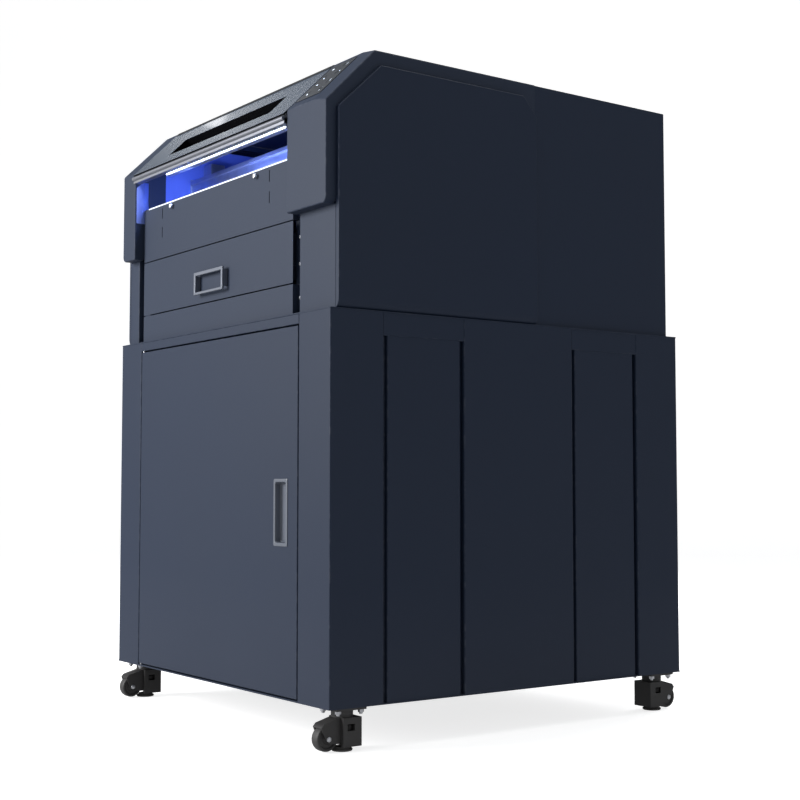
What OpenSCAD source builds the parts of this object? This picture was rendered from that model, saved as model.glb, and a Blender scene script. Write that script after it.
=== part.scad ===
// Flatbed UV printer on a steel cabinet with leveling casters.
// Millimetres. +Z is up, +X is the operator's right, -Y is the front.
// The origin is on the floor, under the middle of the cabinet.

/* [Cabinet] */
// Width across the cabinet's sides
cab_w = 1000; // [860:1:1200]
// Depth from the door's face to the rear panel
cab_d = 1014; // [940:1:1230]
// Height of the cabinet's steel body
cab_h = 817; // [680:1:990]
// Height of the cabinet's underside above the floor
under_h = 90; // [90:1:108]
// Thickness of the folded sheet steel
sheet = 1.5; // [1.2:0.1:2]
// Width of the corner post left of the door
post_left_w = 115; // [80:1:150]
// Width of the corner post right of the door
post_right_w = 123; // [80:1:150]
// Depth of the front corner posts along the side
post_front_d = 134; // [90:1:170]
// Depth of the rear corner posts along the side
post_rear_d = 139; // [90:1:170]
// Depth of the front inset side panel
inset_front_d = 194; // [140:1:230]
// Depth of the rear inset side panel
inset_rear_d = 188; // [140:1:230]
// Width of the grooves beside the inset panels
groove_w = 10; // [6:1:14]
// Height of the plain band above the grooves
groove_top = 48; // [30:1:70]
// Gap round the door
door_gap = 3; // [2:0.5:5]
// Height of the band above the door
header_h = 24; // [18:1:40]

/* [Door pull] */
// Width of the recessed pull
pull_w = 57; // [45:1:70]
// Height of the recessed pull
pull_h = 144; // [110:1:180]
// Distance of the pull from the door's free edge
pull_edge = 38; // [25:1:60]
// Height of the pull's middle above the cabinet's underside
pull_z = 394; // [250:1:480]
// Depth of the finger recess
pull_depth = 15; // [10:1:17]

/* [Casters] */
// Wheel diameter
wheel_d = 52; // [43:1:54]
// Wheel width
wheel_w = 25; // [18:1:28]
// Distance from the swivel axis back to the wheel's axle
trail = 42; // [41:1:48]
// Side of the square mounting plate
plate_w = 73; // [70:1:84]
// Distance between the plate's bolt centres
plate_pitch = 56; // [54:1:60]
// Distance of the swivel axis in from the cabinet's corner faces
caster_in_x = 40; // [39:1:70]
// Distance of the swivel axis in from the cabinet's front and rear faces
caster_in_y = 57; // [40:1:90]

/* [Upper body] */
// Height of the upper body above the cabinet's deck
body_h = 564; // [500:1:677]
// Distance of the upper body's front behind the cabinet's front
body_front = 19; // [10:1:30]
// Distance of the upper body's back in front of the cabinet's back
body_rear = 24; // [10:1:40]
// Distance of the upper body's side skins in from the cabinet's sides
body_in = 10; // [6:1:16]
// Thickness of the raised side covers
cover_t = 12; // [8:1:16]
// Depth of the side covers along the machine
cover_d = 543; // [480:1:600]
// Width of the left pod, with its side cover
pod_left_w = 60; // [54:1:80]
// Width of the right pod, with its side cover
pod_right_w = 153; // [130:1:175]
// Width of the upright channels beside the drawer
channel_w = 28; // [20:1:34]
// Depth of the upright channels
channel_d = 15; // [8:1:18]

/* [Caps and hood] */
// Width of the left cap
cap_left_w = 70; // [66:1:84]
// Width of the right cap, which carries the control panel
cap_right_w = 156; // [140:1:176]
// Distance that the caps stand in front of the cabinet
cap_proud = 6; // [2:1:12]
// Height of the caps' lower edge above the deck
cap_foot = 217; // [195:1:240]
// Height of the foot of the slanted face above the deck
slant_foot = 442; // [400:1:460]
// Depth of the slanted face
slant_run = 123; // [105:1:140]
// Radius of the caps' lower outer corner
cap_corner_r = 14; // [6:1:20]
// Width of the bevel along the right cap's outer edge
bevel_w = 45; // [25:1:60]
// Drop of that bevel at the edge
bevel_drop = 6.5; // [3:0.5:9]
// Gap between the hood and the caps
hood_gap = 2; // [1.5:0.5:4]
// Thickness of the hood's panel
hood_t = 4; // [3:0.5:6]
// Length of the hand scoop
scoop_w = 495; // [350:1:520]
// Distance of the scoop's lower edge up the slant
scoop_low = 32; // [24:1:44]
// Distance of the scoop's upper edge up the slant
scoop_high = 98; // [80:1:112]
// Depth of the scoop at its upper edge
scoop_depth = 24; // [14:1:28]
// Radius of the hood's lip rail
rail_r = 5.5; // [4:0.5:7]

/* [Front] */
// Height of the upper front panel's top above the deck
panel_top = 346; // [335:1:360]
// Height of the seam between the drawer and the upper panel
drawer_top = 208; // [196:1:212]
// Height of the drawer's lower seam
drawer_low = 70; // [50:1:90]
// Gap at the front's seams
seam = 2.5; // [2:0.5:4]
// Depth of the drawer's tray
tray_d = 440; // [300:1:520]
// Width of the drawer's handle
handle_w = 142; // [100:1:180]
// Height of the drawer's handle
handle_h = 54; // [40:1:70]
// Distance that the handle stands out
handle_out = 15; // [12:1:18]

/* [Printing unit] */
// Width of the print bed
bed_w = 600; // [440:1:620]
// Depth of the print bed
bed_d = 420; // [300:1:440]
// Height of the bed's top above the deck
bed_top = 293; // [285:1:300]
// Distance of the gantry beam behind the cabinet's front
beam_y = 166; // [160:1:200]
// Depth of the gantry beam
beam_d = 70; // [60:1:90]
// Height of the gantry beam
beam_h = 80; // [70:1:84]
// Width of the print carriage
carriage_w = 104; // [90:1:110]

/* [Hidden] */

$fn = 48;
eps = 0.02;
run_clear = 0.05;   // radial clearance of a pin in its bore
touch_gap = 0.3;    // gap between parts that slide past each other

// Colours
steel_dark = [0.20, 0.23, 0.30];
steel_front = [0.34, 0.37, 0.44];
black = [0.03, 0.03, 0.035];
bright = [0.78, 0.79, 0.82];
blue_lit = [0.33, 0.45, 0.95];
hood_blue = [0.35, 0.44, 0.53];

// Cabinet frame of reference
half_w = cab_w / 2;
front_y = -cab_d / 2;
rear_y = cab_d / 2;
deck_z = under_h + cab_h;
tube = 30;
base_t = 3;
skin_z0 = under_h + base_t;
skin_z1 = deck_z - base_t;
skin_h = skin_z1 - skin_z0;
door_l = -half_w + post_left_w;
door_r = half_w - post_right_w;
door_z0 = under_h + base_t + door_gap;
door_z1 = deck_z - header_h - door_gap;
door_t = 18;
pivot_in = 8;       // pivot axis in from the door opening's edge
pivot_back = 5;     // pivot axis behind the door's face
pivot_x = door_l + pivot_in;
pivot_y = front_y + pivot_back;
pivot_r = 3;
pull_x1 = door_r - door_gap - pull_edge;
pull_x0 = pull_x1 - pull_w;
pull_z0 = under_h + pull_z - pull_h / 2;
liner_in = 12;      // side liner's face behind the cabinet's sides
frame_x = half_w - liner_in - 3;
frame_y0 = front_y + door_t + 6;
frame_y1 = rear_y - 6;
inset_step = 2;     // inset panels' face behind the cabinet's sides
shelf_z = under_h + cab_h * 0.42;

// Stations along the side, measured from the front
s1 = post_front_d;
s2 = s1 + groove_w;
s3 = s2 + inset_front_d;
s4 = s3 + groove_w;
s8 = cab_d - post_rear_d;
s7 = s8 - groove_w;
s6 = s7 - inset_rear_d;
s5 = s6 - groove_w;

// Upper body
body_x = half_w - body_in;
cover_x = body_x + cover_t;
body_y0 = front_y + body_front;
body_y1 = rear_y - body_rear;
top_z = deck_z + body_h;
cap_y = front_y - cap_proud;
cap_z = deck_z + cap_foot;
foot_z = deck_z + slant_foot;
ridge_y = cap_y + slant_run;
slant_a = atan2(top_z - foot_z, slant_run);
slant_len = norm([top_z - foot_z, slant_run]);
shell_y1 = body_y0 + cover_d + 4;  // joint between the caps and the rear cover
rear_step = 8;      // rear cover's top below the ridge
switch_x = 315;
fan_x = -260;
fan_z = deck_z + 380;
switch_z = deck_z + 121;
switch_pin_r = 1.5;
fan_r = 56;
inlet_x = 324;
inlet_z = deck_z + 80;
cap_l0 = -body_x;
cap_l1 = -body_x + cap_left_w;
cap_r0 = body_x - cap_right_w;
cap_r1 = body_x;
pod_l1 = -cover_x + pod_left_w;
pod_r0 = cover_x - pod_right_w;
mid_l = pod_l1 + channel_w;
mid_r = pod_r0 - channel_w;
mid_x = (mid_l + mid_r) / 2;
wall_t = 2;
inner_wall_y = body_y0 + 62;   // rear end of the caps' inner walls
cap_flange = 16;    // height of the flange left along the caps' inner edges
liner_lap = 10;     // channel liner's reach behind the front sheets

// Front levels
panel_z0 = deck_z + drawer_top + seam / 2;
panel_z1 = deck_z + panel_top;
drawer_z0 = deck_z + drawer_low + seam / 2;
drawer_z1 = deck_z + drawer_top - seam / 2;
strip_z0 = deck_z + wall_t;
strip_z1 = deck_z + drawer_low - seam / 2;
bay_z = deck_z + drawer_top + 6;    // floor of the printing bay
bay_y0 = body_y0 + 22;
bay_y1 = body_y1 - 20;

// Drawer's tray and its runners
tray_in = 20;       // tray's sides in from the drawer face's ends
tray_z0 = drawer_z0 + 10;
runner_w = 8;
runner_h = 12;
runner_z = 30;      // runner above the tray's underside
runner_in = 10;     // runner's ends in from the tray's ends

thumb_x = [mid_x - 209, mid_x + 209];
thumb_z = panel_z1 - 14;

// Hood and its hinge
hood_l = cap_l1 + hood_gap;
hood_r = cap_r0 - hood_gap;
hood_w = hood_r - hood_l;
hinge_r = 3.5;
hinge_pin_r = 1.6;
hinge_y = ridge_y;
hinge_z = top_z - hinge_r;
// hood panel's upper edge below the ridge, along the slant, clear of the hinge's barrel
hinge_off = hinge_r * (1 + sin(slant_a)) + touch_gap;
knuckles = 9;
knuckle_l = hood_w / knuckles;
leaf_t = 1.2;
leaf_w = 22;
lip_drop = 10;      // hood panel's lower edge below the slant's foot
scoop_x0 = mid_x + 20 - scoop_w / 2;
rail_y = cap_y - 6;
carrier_t = 7;      // lip rail's carrier under the hood panel
carrier_in = 2;     // carrier's lower edge above the panel's
carrier_z0 = foot_z - (lip_drop - carrier_in) * sin(slant_a) - (hood_t + carrier_t) * cos(slant_a);
rail_z = carrier_z0 - (rail_r - 2) - touch_gap;

// Printing unit
beam_y0 = front_y + beam_y;
beam_z1 = deck_z + 444;
beam_z0 = beam_z1 - beam_h;
rail_d = 8;         // linear rail's depth in front of the beam
rail_h = 10;
bed_z1 = deck_z + bed_top;
bed_t = 14;
bed_x0 = mid_x - 12 - bed_w / 2;
bed_y0 = front_y + 92;
guide_w = 20;
guide_h = 16;
screw_r = 7;        // bed's lead screw
carriage_x1 = pod_r0 - wall_t - 6;
carriage_x0 = carriage_x1 - carriage_w;
carriage_z0 = bed_z1 + 55;
carriage_y0 = beam_y0 - rail_d - 56;
head_z0 = bed_z1 + 3;

// Casters
plate_t = 5;
bolt_hole_r = 4.2;
race_r = 23;
race_h = 11;
block_r = [27, 31];     // housing's half width and reach behind the axis
house_z1 = under_h - plate_t - race_h - 5;
house_z0 = 10;
wheel_z = wheel_d / 2 + 2;
axle_r = 4;
foot_r = 22;
foot_pad_h = 5;
foot_disc_h = 4;
foot_gap = 2;       // round the foot, in the housing's pocket
foot_lift = 4;      // most that the dial screws the foot up
foot_room = 3;      // over the foot when it is up
stud_r = 6;
dial_r = 20;
dial_z = wheel_z + 16;
kingpin_r = 8;
kingpin_h = 7.7;
bolt_tip = 13;      // bolt's reach below the plate

function caster_at(i) = [
    (i % 2 == 0 ? -1 : 1) * (half_w - caster_in_x),
    (i < 2 ? front_y + caster_in_y : rear_y - caster_in_y)
];

// Places a caster: the front pair trails forwards, the rear pair backwards
module at_caster(i) {
    translate([caster_at(i)[0], caster_at(i)[1], 0]) rotate([0, 0, i < 2 ? 0 : 180]) children();
}

// A box between two corners
module span(a, b) {
    translate(a) cube(b - a);
}

// A hollow square tube between two corners, open along the given axis
module box_tube(a, b, axis, wall) {
    grow = [for (k = [0:2]) k == axis ? -1 : wall];
    difference() {
        span(a, b);
        span(a + grow, b - grow);
    }
}

// Local frame of the slanted face: x across, y up the slope, z outward
module on_slant() {
    translate([0, cap_y, foot_z]) rotate([slant_a, 0, 0]) children();
}

// Extrudes an outline given in the YZ plane from x0 to x1
module along_x(x0, x1) {
    translate([x0, 0, 0]) rotate([90, 0, 90]) linear_extrude(x1 - x0) children();
}

// Extrudes an outline given in the XZ plane from y0 to y1
module along_y(y0, y1) {
    translate([0, y1, 0]) rotate([90, 0, 0]) linear_extrude(y1 - y0) children();
}

module mirror_x_both() {
    children();
    mirror([1, 0, 0]) children();
}

// ---------------------------------------------------------------- cabinet

// Welded square-tube frame inside the skins
module cabinet_frame() {
    in_x = frame_x;
    y0 = frame_y0;
    y1 = frame_y1;
    z0 = under_h + base_t;
    z1 = deck_z - base_t;
    color(steel_dark) difference() {
        union() {
            for (x = [-in_x, in_x - tube], y = [y0, y1 - tube])
                box_tube([x, y, z0 + tube], [x + tube, y + tube, z1 - tube], 2, sheet);
            for (y = [y0, y1 - tube], z = [z0, z1 - tube])
                box_tube([-in_x, y, z], [in_x, y + tube, z + tube], 0, sheet);
            for (x = [-in_x, in_x - tube], z = [z0, z1 - tube])
                box_tube([x, y0 + tube, z], [x + tube, y1 - tube, z + tube], 1, sheet);
        }
        // access holes round the casters' upper nuts
        for (i = [0:3], x = [-1, 1], y = [-1, 1])
            translate([caster_at(i)[0], caster_at(i)[1], z0 - 1] + [x, y, 0] * plate_pitch / 2)
                cylinder(r = 9, h = 10);
    }
}

module cabinet_base() {
    color(steel_dark) difference() {
        span([-half_w, front_y, under_h], [half_w, rear_y, under_h + base_t]);
        for (i = [0:3])
            translate([caster_at(i)[0], caster_at(i)[1], under_h - 1])
                for (x = [-1, 1], y = [-1, 1])
                    translate([x, y, 0] * plate_pitch / 2) cylinder(r = bolt_hole_r, h = base_t + 2);
    }
}

// Deck plate that carries the upper body, with a hose hole
module cabinet_deck() {
    color(steel_dark) difference() {
        span([-half_w, front_y, deck_z - base_t], [half_w, rear_y, deck_z]);
        translate([0, rear_y - 220, deck_z - base_t - 1]) cylinder(r = 45, h = base_t + 2);
    }
}

// One folded post, seen from above: outer corner at the origin, face along +x, side along +y.
module post(face, side, fold) {
    linear_extrude(skin_h) polygon([
        [0, 0], [face, 0], [face, fold], [face - sheet, fold], [face - sheet, sheet],
        [sheet, sheet], [sheet, side - sheet], [liner_in, side - sheet], [liner_in, side], [0, side]
    ]);
}

module corner_posts() {
    color(steel_dark) translate([0, 0, skin_z0]) {
        translate([-half_w, front_y, 0]) post(post_left_w, post_front_d, door_t);
        translate([half_w, front_y, 0]) mirror([1, 0, 0]) post(post_right_w, post_front_d, door_t);
        translate([-half_w, rear_y, 0]) mirror([0, 1, 0]) post(post_left_w, post_rear_d, 5);
        translate([half_w, rear_y, 0]) mirror([1, 0, 0]) mirror([0, 1, 0])
            post(post_right_w, post_rear_d, 5);
    }
}

// Full-height panel in the middle of each side, flush with the posts
module side_centre_panels() {
    color(steel_dark) mirror_x_both()
        translate([half_w, front_y, skin_z0]) mirror([1, 0, 0]) linear_extrude(skin_h) polygon([
            [0, s4], [0, s5], [liner_in, s5], [liner_in, s5 - sheet], [sheet, s5 - sheet],
            [sheet, s4 + sheet], [liner_in, s4 + sheet], [liner_in, s4]
        ]);
}

// Inset panels with the liner behind the grooves and the plain band above them
module inset_panel(y0, y1, notch_at, notch_w, notch_h) {
    band_z = deck_z - groove_top;
    difference() {
        union() {
            span([half_w - liner_in - sheet, y0, skin_z0], [half_w - liner_in, y1, skin_z1]);
            span([half_w - liner_in, y0 + groove_w, skin_z0],
                 [half_w - inset_step, y1 - groove_w, skin_z1]);
            span([half_w - liner_in, y0, band_z], [half_w - inset_step / 2, y1, skin_z1]);
        }
        span([half_w - liner_in - eps, y0 + groove_w + sheet, under_h - 1],
             [half_w - inset_step - sheet, y1 - groove_w - sheet, band_z - sheet]);
        span([half_w - 6, notch_at, skin_z1 - notch_h], [half_w + 1, notch_at + notch_w, skin_z1 + 1]);
    }
}

module side_inset_panels() {
    color(steel_dark) mirror_x_both() {
        inset_panel(front_y + s1, front_y + s4, front_y + s3 - 38, 38, 14);
        inset_panel(front_y + s5, front_y + s8, front_y + s6, 24, 5);
    }
}

module door_header() {
    z0 = deck_z - header_h;
    color(steel_dark) difference() {
        span([door_l, front_y, z0], [door_r, front_y + door_t, deck_z - base_t]);
        span([door_l - 1, front_y + sheet, z0 + sheet], [door_r + 1, front_y + door_t + 1, deck_z]);
    }
}

// Louvred rear panel
module rear_panel() {
    x0 = -half_w + post_left_w;
    x1 = half_w - post_right_w;
    slot_w = 120;
    color(steel_dark) difference() {
        span([x0, rear_y - sheet, under_h + base_t], [x1, rear_y, deck_z - base_t]);
        for (side = [-1, 1], row = [0:9])
            translate([side * 190, rear_y, under_h + 130 + row * 22])
                cube([slot_w, 4 * sheet, 6], center = true);
        for (side = [-1, 1], row = [0:9])
            translate([side * 190, rear_y, deck_z - 130 - row * 22])
                cube([slot_w, 4 * sheet, 6], center = true);
    }
}

module rear_panel_screws() {
    x0 = -half_w + post_left_w + 16;
    x1 = half_w - post_right_w - 16;
    z0 = under_h + 24;
    z1 = deck_z - 24;
    color(bright) for (x = [x0, (x0 + x1) / 2, x1], z = [z0, (z0 + z1) / 2, z1])
        translate([x, rear_y, z]) rotate([-90, 0, 0]) difference() {
            cylinder(r = 5, h = 2.6);
            translate([0, 0, 1.2]) cylinder(r = 2.6, h = 2, $fn = 6);
        }
}

module shelf() {
    in_x = frame_x;
    lug = 8;
    y0 = frame_y0 + tube + lug;
    y1 = frame_y1 - tube - lug;
    color(steel_dark) difference() {
        span([-in_x + tube, y0, shelf_z - 20], [in_x - tube, y1, shelf_z]);
        span([-in_x + tube - 1, y0 + sheet, shelf_z - 21], [in_x - tube + 1, y1 - sheet, shelf_z - sheet]);
        translate([-in_x + tube + 60, y1 - 60, shelf_z - 22]) cylinder(r = 25, h = 24);
    }
    // lugs that rest against the frame's uprights
    for (side = [0, 1], y = [y0 - lug, y1])
        mirror([side, 0, 0]) color(steel_dark)
            span([in_x - 2 * tube, y, shelf_z - sheet], [in_x, y + lug, shelf_z]);
}

// Power supply on the shelf: vented steel case
module power_supply() {
    color(bright) translate([120, rear_y - 420, shelf_z]) difference() {
        cube([215, 115, 50]);
        for (i = [0:9]) translate([20 + i * 18, -1, 12]) cube([6, 8, 26]);
        translate([40, 57, 44]) cylinder(r = 25, h = 10);
    }
}

module waste_bottle() {
    color([0.85, 0.87, 0.88]) translate([-260, front_y + 330, shelf_z]) {
        difference() {
            union() {
                cylinder(r = 75, h = 190);
                translate([0, 0, 190]) cylinder(r1 = 75, r2 = 30, h = 35);
                translate([0, 0, 225]) cylinder(r = 30, h = 25);
            }
            translate([0, 0, 4]) cylinder(r = 71, h = 184);
            translate([0, 0, 188]) cylinder(r1 = 71, r2 = 26, h = 35);
            translate([0, 0, 222]) cylinder(r = 26, h = 30);
        }
    }
}

module air_pump() {
    color(black) translate([60, front_y + 330, shelf_z]) {
        span([0, 0, 0], [180, 110, 8]);
        translate([20, 55, 60]) rotate([0, 90, 0]) cylinder(r = 45, h = 140);
        for (x = [30, 130]) span([x, 20, 8], [x + 20, 90, 30]);
        translate([90, 55, 100]) cylinder(r = 14, h = 24);
    }
}

// Pivot pins on brackets at the head and the foot of the door
module door_pivots() {
    pin_l = 12;
    color(bright) {
        translate([pivot_x, pivot_y, door_z0 - door_gap]) cylinder(r = pivot_r, h = pin_l + door_gap);
        translate([pivot_x, pivot_y, door_z1 - pin_l]) cylinder(r = pivot_r, h = pin_l + door_gap);
    }
}

// Magnetic catch behind the right post
module door_latch() {
    z = (door_z0 + door_z1) / 2;
    color(black) span([door_r - 26, front_y + door_t + touch_gap, z - 20],
                      [door_r - 6, front_y + door_t + 14, z + 20]);
    color(steel_dark) span([door_r - 30, front_y + door_t + 14, z - 20],
                           [frame_x - tube, frame_y0 + 10, z + 20]);
    color(steel_dark) span([half_w - liner_in - 5 - tube, front_y + door_t + 4, z - 20],
                           [frame_x - tube, frame_y0 + 24, z + 20]);
}

// Folded door, with pivot blocks at its hinge edge and a hole for the pull
module cabinet_door() {
    x0 = door_l + door_gap;
    x1 = door_r - door_gap;
    color(steel_front) difference() {
        union() {
            difference() {
                span([x0, front_y, door_z0], [x1, front_y + door_t, door_z1]);
                span([x0 + sheet, front_y + sheet, door_z0 + sheet],
                     [x1 - sheet, front_y + door_t + 1, door_z1 - sheet]);
            }
            for (z = [door_z0, door_z1 - 20])
                span([x0 + eps, front_y + eps, z + eps], [x0 + 14, front_y + 12, z + 20 - eps]);
        }
        for (z = [door_z0 - 1, door_z1 - 14])
            translate([pivot_x, pivot_y, z]) cylinder(r = pivot_r + run_clear, h = 15);
        span([pull_x0 + 4, front_y - 1, pull_z0 + 4],
             [pull_x0 + pull_w - 4, front_y + sheet + 1, pull_z0 + pull_h - 4]);
    }
}

// Recessed pull: a bezel with a finger cup behind it
module door_pull() {
    x1 = pull_x0 + pull_w;
    z1 = pull_z0 + pull_h;
    rim = 7;
    color([0.3, 0.33, 0.38]) difference() {
        union() {
            span([pull_x0, front_y - 2, pull_z0], [x1, front_y, z1]);
            span([pull_x0 + 4.2, front_y - 1, pull_z0 + 4.2],
                 [x1 - 4.2, front_y + pull_depth, z1 - 4.2]);
        }
        span([pull_x0 + rim, front_y - 3, pull_z0 + rim],
             [x1 - rim, front_y + pull_depth - sheet, z1 - rim]);
    }
}

// ---------------------------------------------------------------- casters

module caster_plates() {
    color(black) for (i = [0:3]) translate([caster_at(i)[0], caster_at(i)[1], under_h]) {
        difference() {
            translate([-plate_w / 2, -plate_w / 2, -plate_t]) cube([plate_w, plate_w, plate_t]);
            for (x = [-1, 1], y = [-1, 1])
                translate([x * plate_pitch / 2, y * plate_pitch / 2, -plate_t - 1])
                    cylinder(r = bolt_hole_r, h = plate_t + 2);
        }
        translate([0, 0, -plate_t - race_h]) cylinder(r = race_r, h = race_h);
        translate([0, 0, -plate_t - race_h - kingpin_h]) cylinder(r = kingpin_r, h = kingpin_h);
    }
}

// Bolt, washer and nut at each hole of the four plates
module caster_bolts() {
    bolt_r = 4;
    color(bright) for (i = [0:3], x = [-1, 1], y = [-1, 1])
        translate([caster_at(i)[0] + x * plate_pitch / 2, caster_at(i)[1] + y * plate_pitch / 2, under_h]) {
            translate([0, 0, -plate_t - bolt_tip]) cylinder(r = bolt_r, h = plate_t + bolt_tip + base_t);
            translate([0, 0, -plate_t - 1.6]) cylinder(r = 7.2, h = 1.6);
            translate([0, 0, -plate_t - 9.6]) cylinder(r = 7.2, h = 8, $fn = 6);
            translate([0, 0, base_t]) cylinder(r = 7.2, h = 5, $fn = 6);
        }
}

// Swivel housing with the fork, fender, axle and adjuster dial
module housing(i) {
    arm_x = wheel_w / 2 + 0.8;
    arm_t = 3.5;
    side_x = arm_x + arm_t;
    wheel_gap = 2;
    body_front_y = -trail + wheel_d / 2 + wheel_gap;
    color(black) at_caster(i) {
        difference() {
            union() {
                translate([0, 0, house_z1]) cylinder(r = race_r, h = 5 - touch_gap);
                span([-block_r[0], body_front_y, house_z0], [block_r[0], block_r[1], house_z1]);
                along_x(-side_x, side_x) polygon([
                    [body_front_y, house_z1], [body_front_y, house_z0 + 6], [-trail, wheel_z - 9],
                    [-trail - 8, wheel_z], [-trail - wheel_d / 2 + 8, wheel_z + wheel_d / 2 - 2],
                    [-trail - 12, wheel_z + wheel_d / 2 + 5], [body_front_y - 4, house_z1]
                ]);
            }
            // room for the wheel
            translate([-arm_x, -trail, wheel_z]) rotate([0, 90, 0])
                cylinder(r = wheel_d / 2 + wheel_gap, h = 2 * arm_x);
            span([-arm_x, -trail - wheel_d, 0], [arm_x, -trail, wheel_z]);
            // pocket for the foot and its dial
            intersection() {
                translate([0, 0, -1]) cylinder(r = foot_r + foot_gap, h = dial_z + 14);
                span([-foot_r - 3, body_front_y + sheet, -1], [foot_r + 3, foot_r + 3, dial_z + 14]);
            }
            // room for the foot when it is screwed up
            translate([0, 0, -1])
                cylinder(r = foot_r + foot_gap, h = foot_pad_h + foot_disc_h + foot_lift + foot_room + 1);
            cylinder(r = stud_r + 0.4, h = house_z1 - 6);
            // windows through which the dial is turned
            span([-block_r[0] - 1, -4, dial_z - 2], [block_r[0] + 1, 14, dial_z + 12]);
            translate([0, 0, house_z1 - 3]) cylinder(r = kingpin_r + run_clear, h = 9);
        }
        translate([-side_x, -trail, wheel_z]) rotate([0, 90, 0]) cylinder(r = axle_r, h = 2 * side_x);
        // adjuster dial, captive round the stud
        translate([0, 0, dial_z]) difference() {
            union() {
                intersection() {
                    cylinder(r = dial_r, h = 9);
                    span([-foot_r, body_front_y + sheet + 1, 0], [foot_r, foot_r, 10]);
                }
                cylinder(r = 11, h = 13.9);
            }
            translate([0, 0, -1]) cylinder(r = stud_r + run_clear, h = 16);
        }
    }
}

// Wheel with a rounded tread and a dished hub
module wheel(i) {
    r = wheel_d / 2;
    w = wheel_w / 2;
    color(black) at_caster(i) translate([0, -trail, wheel_z]) rotate([0, 90, 0])
        rotate_extrude($fn = 64) polygon([
            [axle_r + run_clear, -w], [r * 0.42, -w], [r * 0.5, -w + 3], [r * 0.72, -w + 3],
            [r * 0.78, -w + 0.6], [r - 3, -w + 0.6], [r - 0.9, -w + 2.2], [r, -w + 6],
            [r, w - 6], [r - 0.9, w - 2.2], [r - 3, w - 0.6], [r * 0.78, w - 0.6],
            [r * 0.72, w - 3], [r * 0.5, w - 3], [r * 0.42, w], [axle_r + run_clear, w]
        ]);
}

// Leveling foot: rubber pad, steel disc and stud
module foot(i) {
    color(black) at_caster(i) {
        cylinder(r1 = foot_r - 1, r2 = foot_r, h = foot_pad_h);
        translate([0, 0, foot_pad_h]) cylinder(r = foot_r - 4, h = foot_disc_h);
        cylinder(r = stud_r, h = house_z1 - 12);
    }
}

// ---------------------------------------------------------------- upper body

// One pod: front face, return along the channel and channel liner
module pod(x_in, x_out, side) {
    lo = min(x_in, x_out);
    hi = max(x_in, x_out);
    ret_x = side < 0 ? hi - sheet : lo;
    back_y = body_y0 + channel_d;
    color(steel_front) {
        span([lo, body_y0, deck_z], [hi, body_y0 + sheet, cap_z]);
        span([ret_x, body_y0 + sheet, deck_z], [ret_x + sheet, back_y, cap_z]);
        span([side < 0 ? hi - sheet : lo - channel_w - liner_lap, back_y, deck_z],
             [side < 0 ? hi + channel_w + liner_lap : lo + sheet, back_y + sheet, cap_z]);
    }
}

module left_pod() { pod(pod_l1, -body_x + sheet, -1); }

module right_pod() { pod(pod_r0, body_x - sheet, 1); }

// Raised side cover with cut corners and a rolled lower edge
module side_cover() {
    y0 = body_y0;
    y1 = body_y0 + cover_d;
    z0 = deck_z;
    z1 = top_z - 41;
    front_cut_d = 107;
    front_cut_h = 102;
    rear_cut_d = 38;
    rear_cut_h = 45;
    roll_h = 22;
    steps = 6;
    outline = [[y0, z0], [y0, z1 - front_cut_h], [y0 + front_cut_d, z1],
               [y1 - rear_cut_d, z1], [y1, z1 - rear_cut_h], [y1, z0]];
    roll = [for (k = [0:steps]) [cover_x - cover_t * (1 - sin(90 * k / steps)),
                                 z0 + roll_h * (1 - cos(90 * k / steps))]];
    inner = [[y0 + sheet, z0 + roll_h], [y0 + sheet, z1 - front_cut_h - 1],
             [y0 + front_cut_d + 1, z1 - sheet], [y1 - rear_cut_d - 1, z1 - sheet],
             [y1 - sheet, z1 - rear_cut_h - 1], [y1 - sheet, z0 + roll_h]];
    color(steel_dark) difference() {
        intersection() {
            along_x(body_x, cover_x) polygon(outline);
            along_y(y0 - 1, y1 + 1) polygon(concat([[body_x - 1, z0]], roll,
                [[cover_x, z1 + 1], [body_x - 1, z1 + 1]]));
        }
        along_x(body_x - 1, cover_x - sheet) polygon(inner);
    }
}

module left_side_cover() { mirror([1, 0, 0]) side_cover(); }

module right_side_cover() { side_cover(); }

// Solid of one cap, shrunk by g on every side; x runs from the hood to the outer side
module cap_solid(x0, x1, g, bevel) {
    r = max(cap_corner_r - g, 1);
    difference() {
        along_x(x0 + g, x1 - g) polygon([
            [cap_y + g, cap_z + g], [cap_y + g, foot_z - g * tan(slant_a / 2)],
            [ridge_y + g * tan(slant_a / 2), top_z - g],
            [shell_y1 + (g > 0 ? 1 : 0), top_z - g], [shell_y1 + (g > 0 ? 1 : 0), cap_z + g]
        ]);
        // rounded lower outer corner
        along_y(cap_y - 1, body_y0) difference() {
            translate([x1 - g - r, cap_z + g - 1]) square([r + 1, r + 1]);
            translate([x1 - g - r, cap_z + g + r]) circle(r = r);
        }
        if (bevel) {
            along_y(ridge_y - 60, shell_y1 + 2) polygon([
                [x1 - bevel_w, top_z - g], [x1 + 1, top_z - g],
                [x1 + 1, top_z - g - bevel_drop * (bevel_w + 1) / bevel_w]
            ]);
            on_slant() translate([0, slant_len + 60, 0]) rotate([90, 0, 0])
                linear_extrude(slant_len + 90) polygon([
                    [x1 - bevel_w, -g], [x1 + 1, -g],
                    [x1 + 1, -g - bevel_drop * (bevel_w + 1) / bevel_w]
                ]);
        }
    }
}

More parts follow.
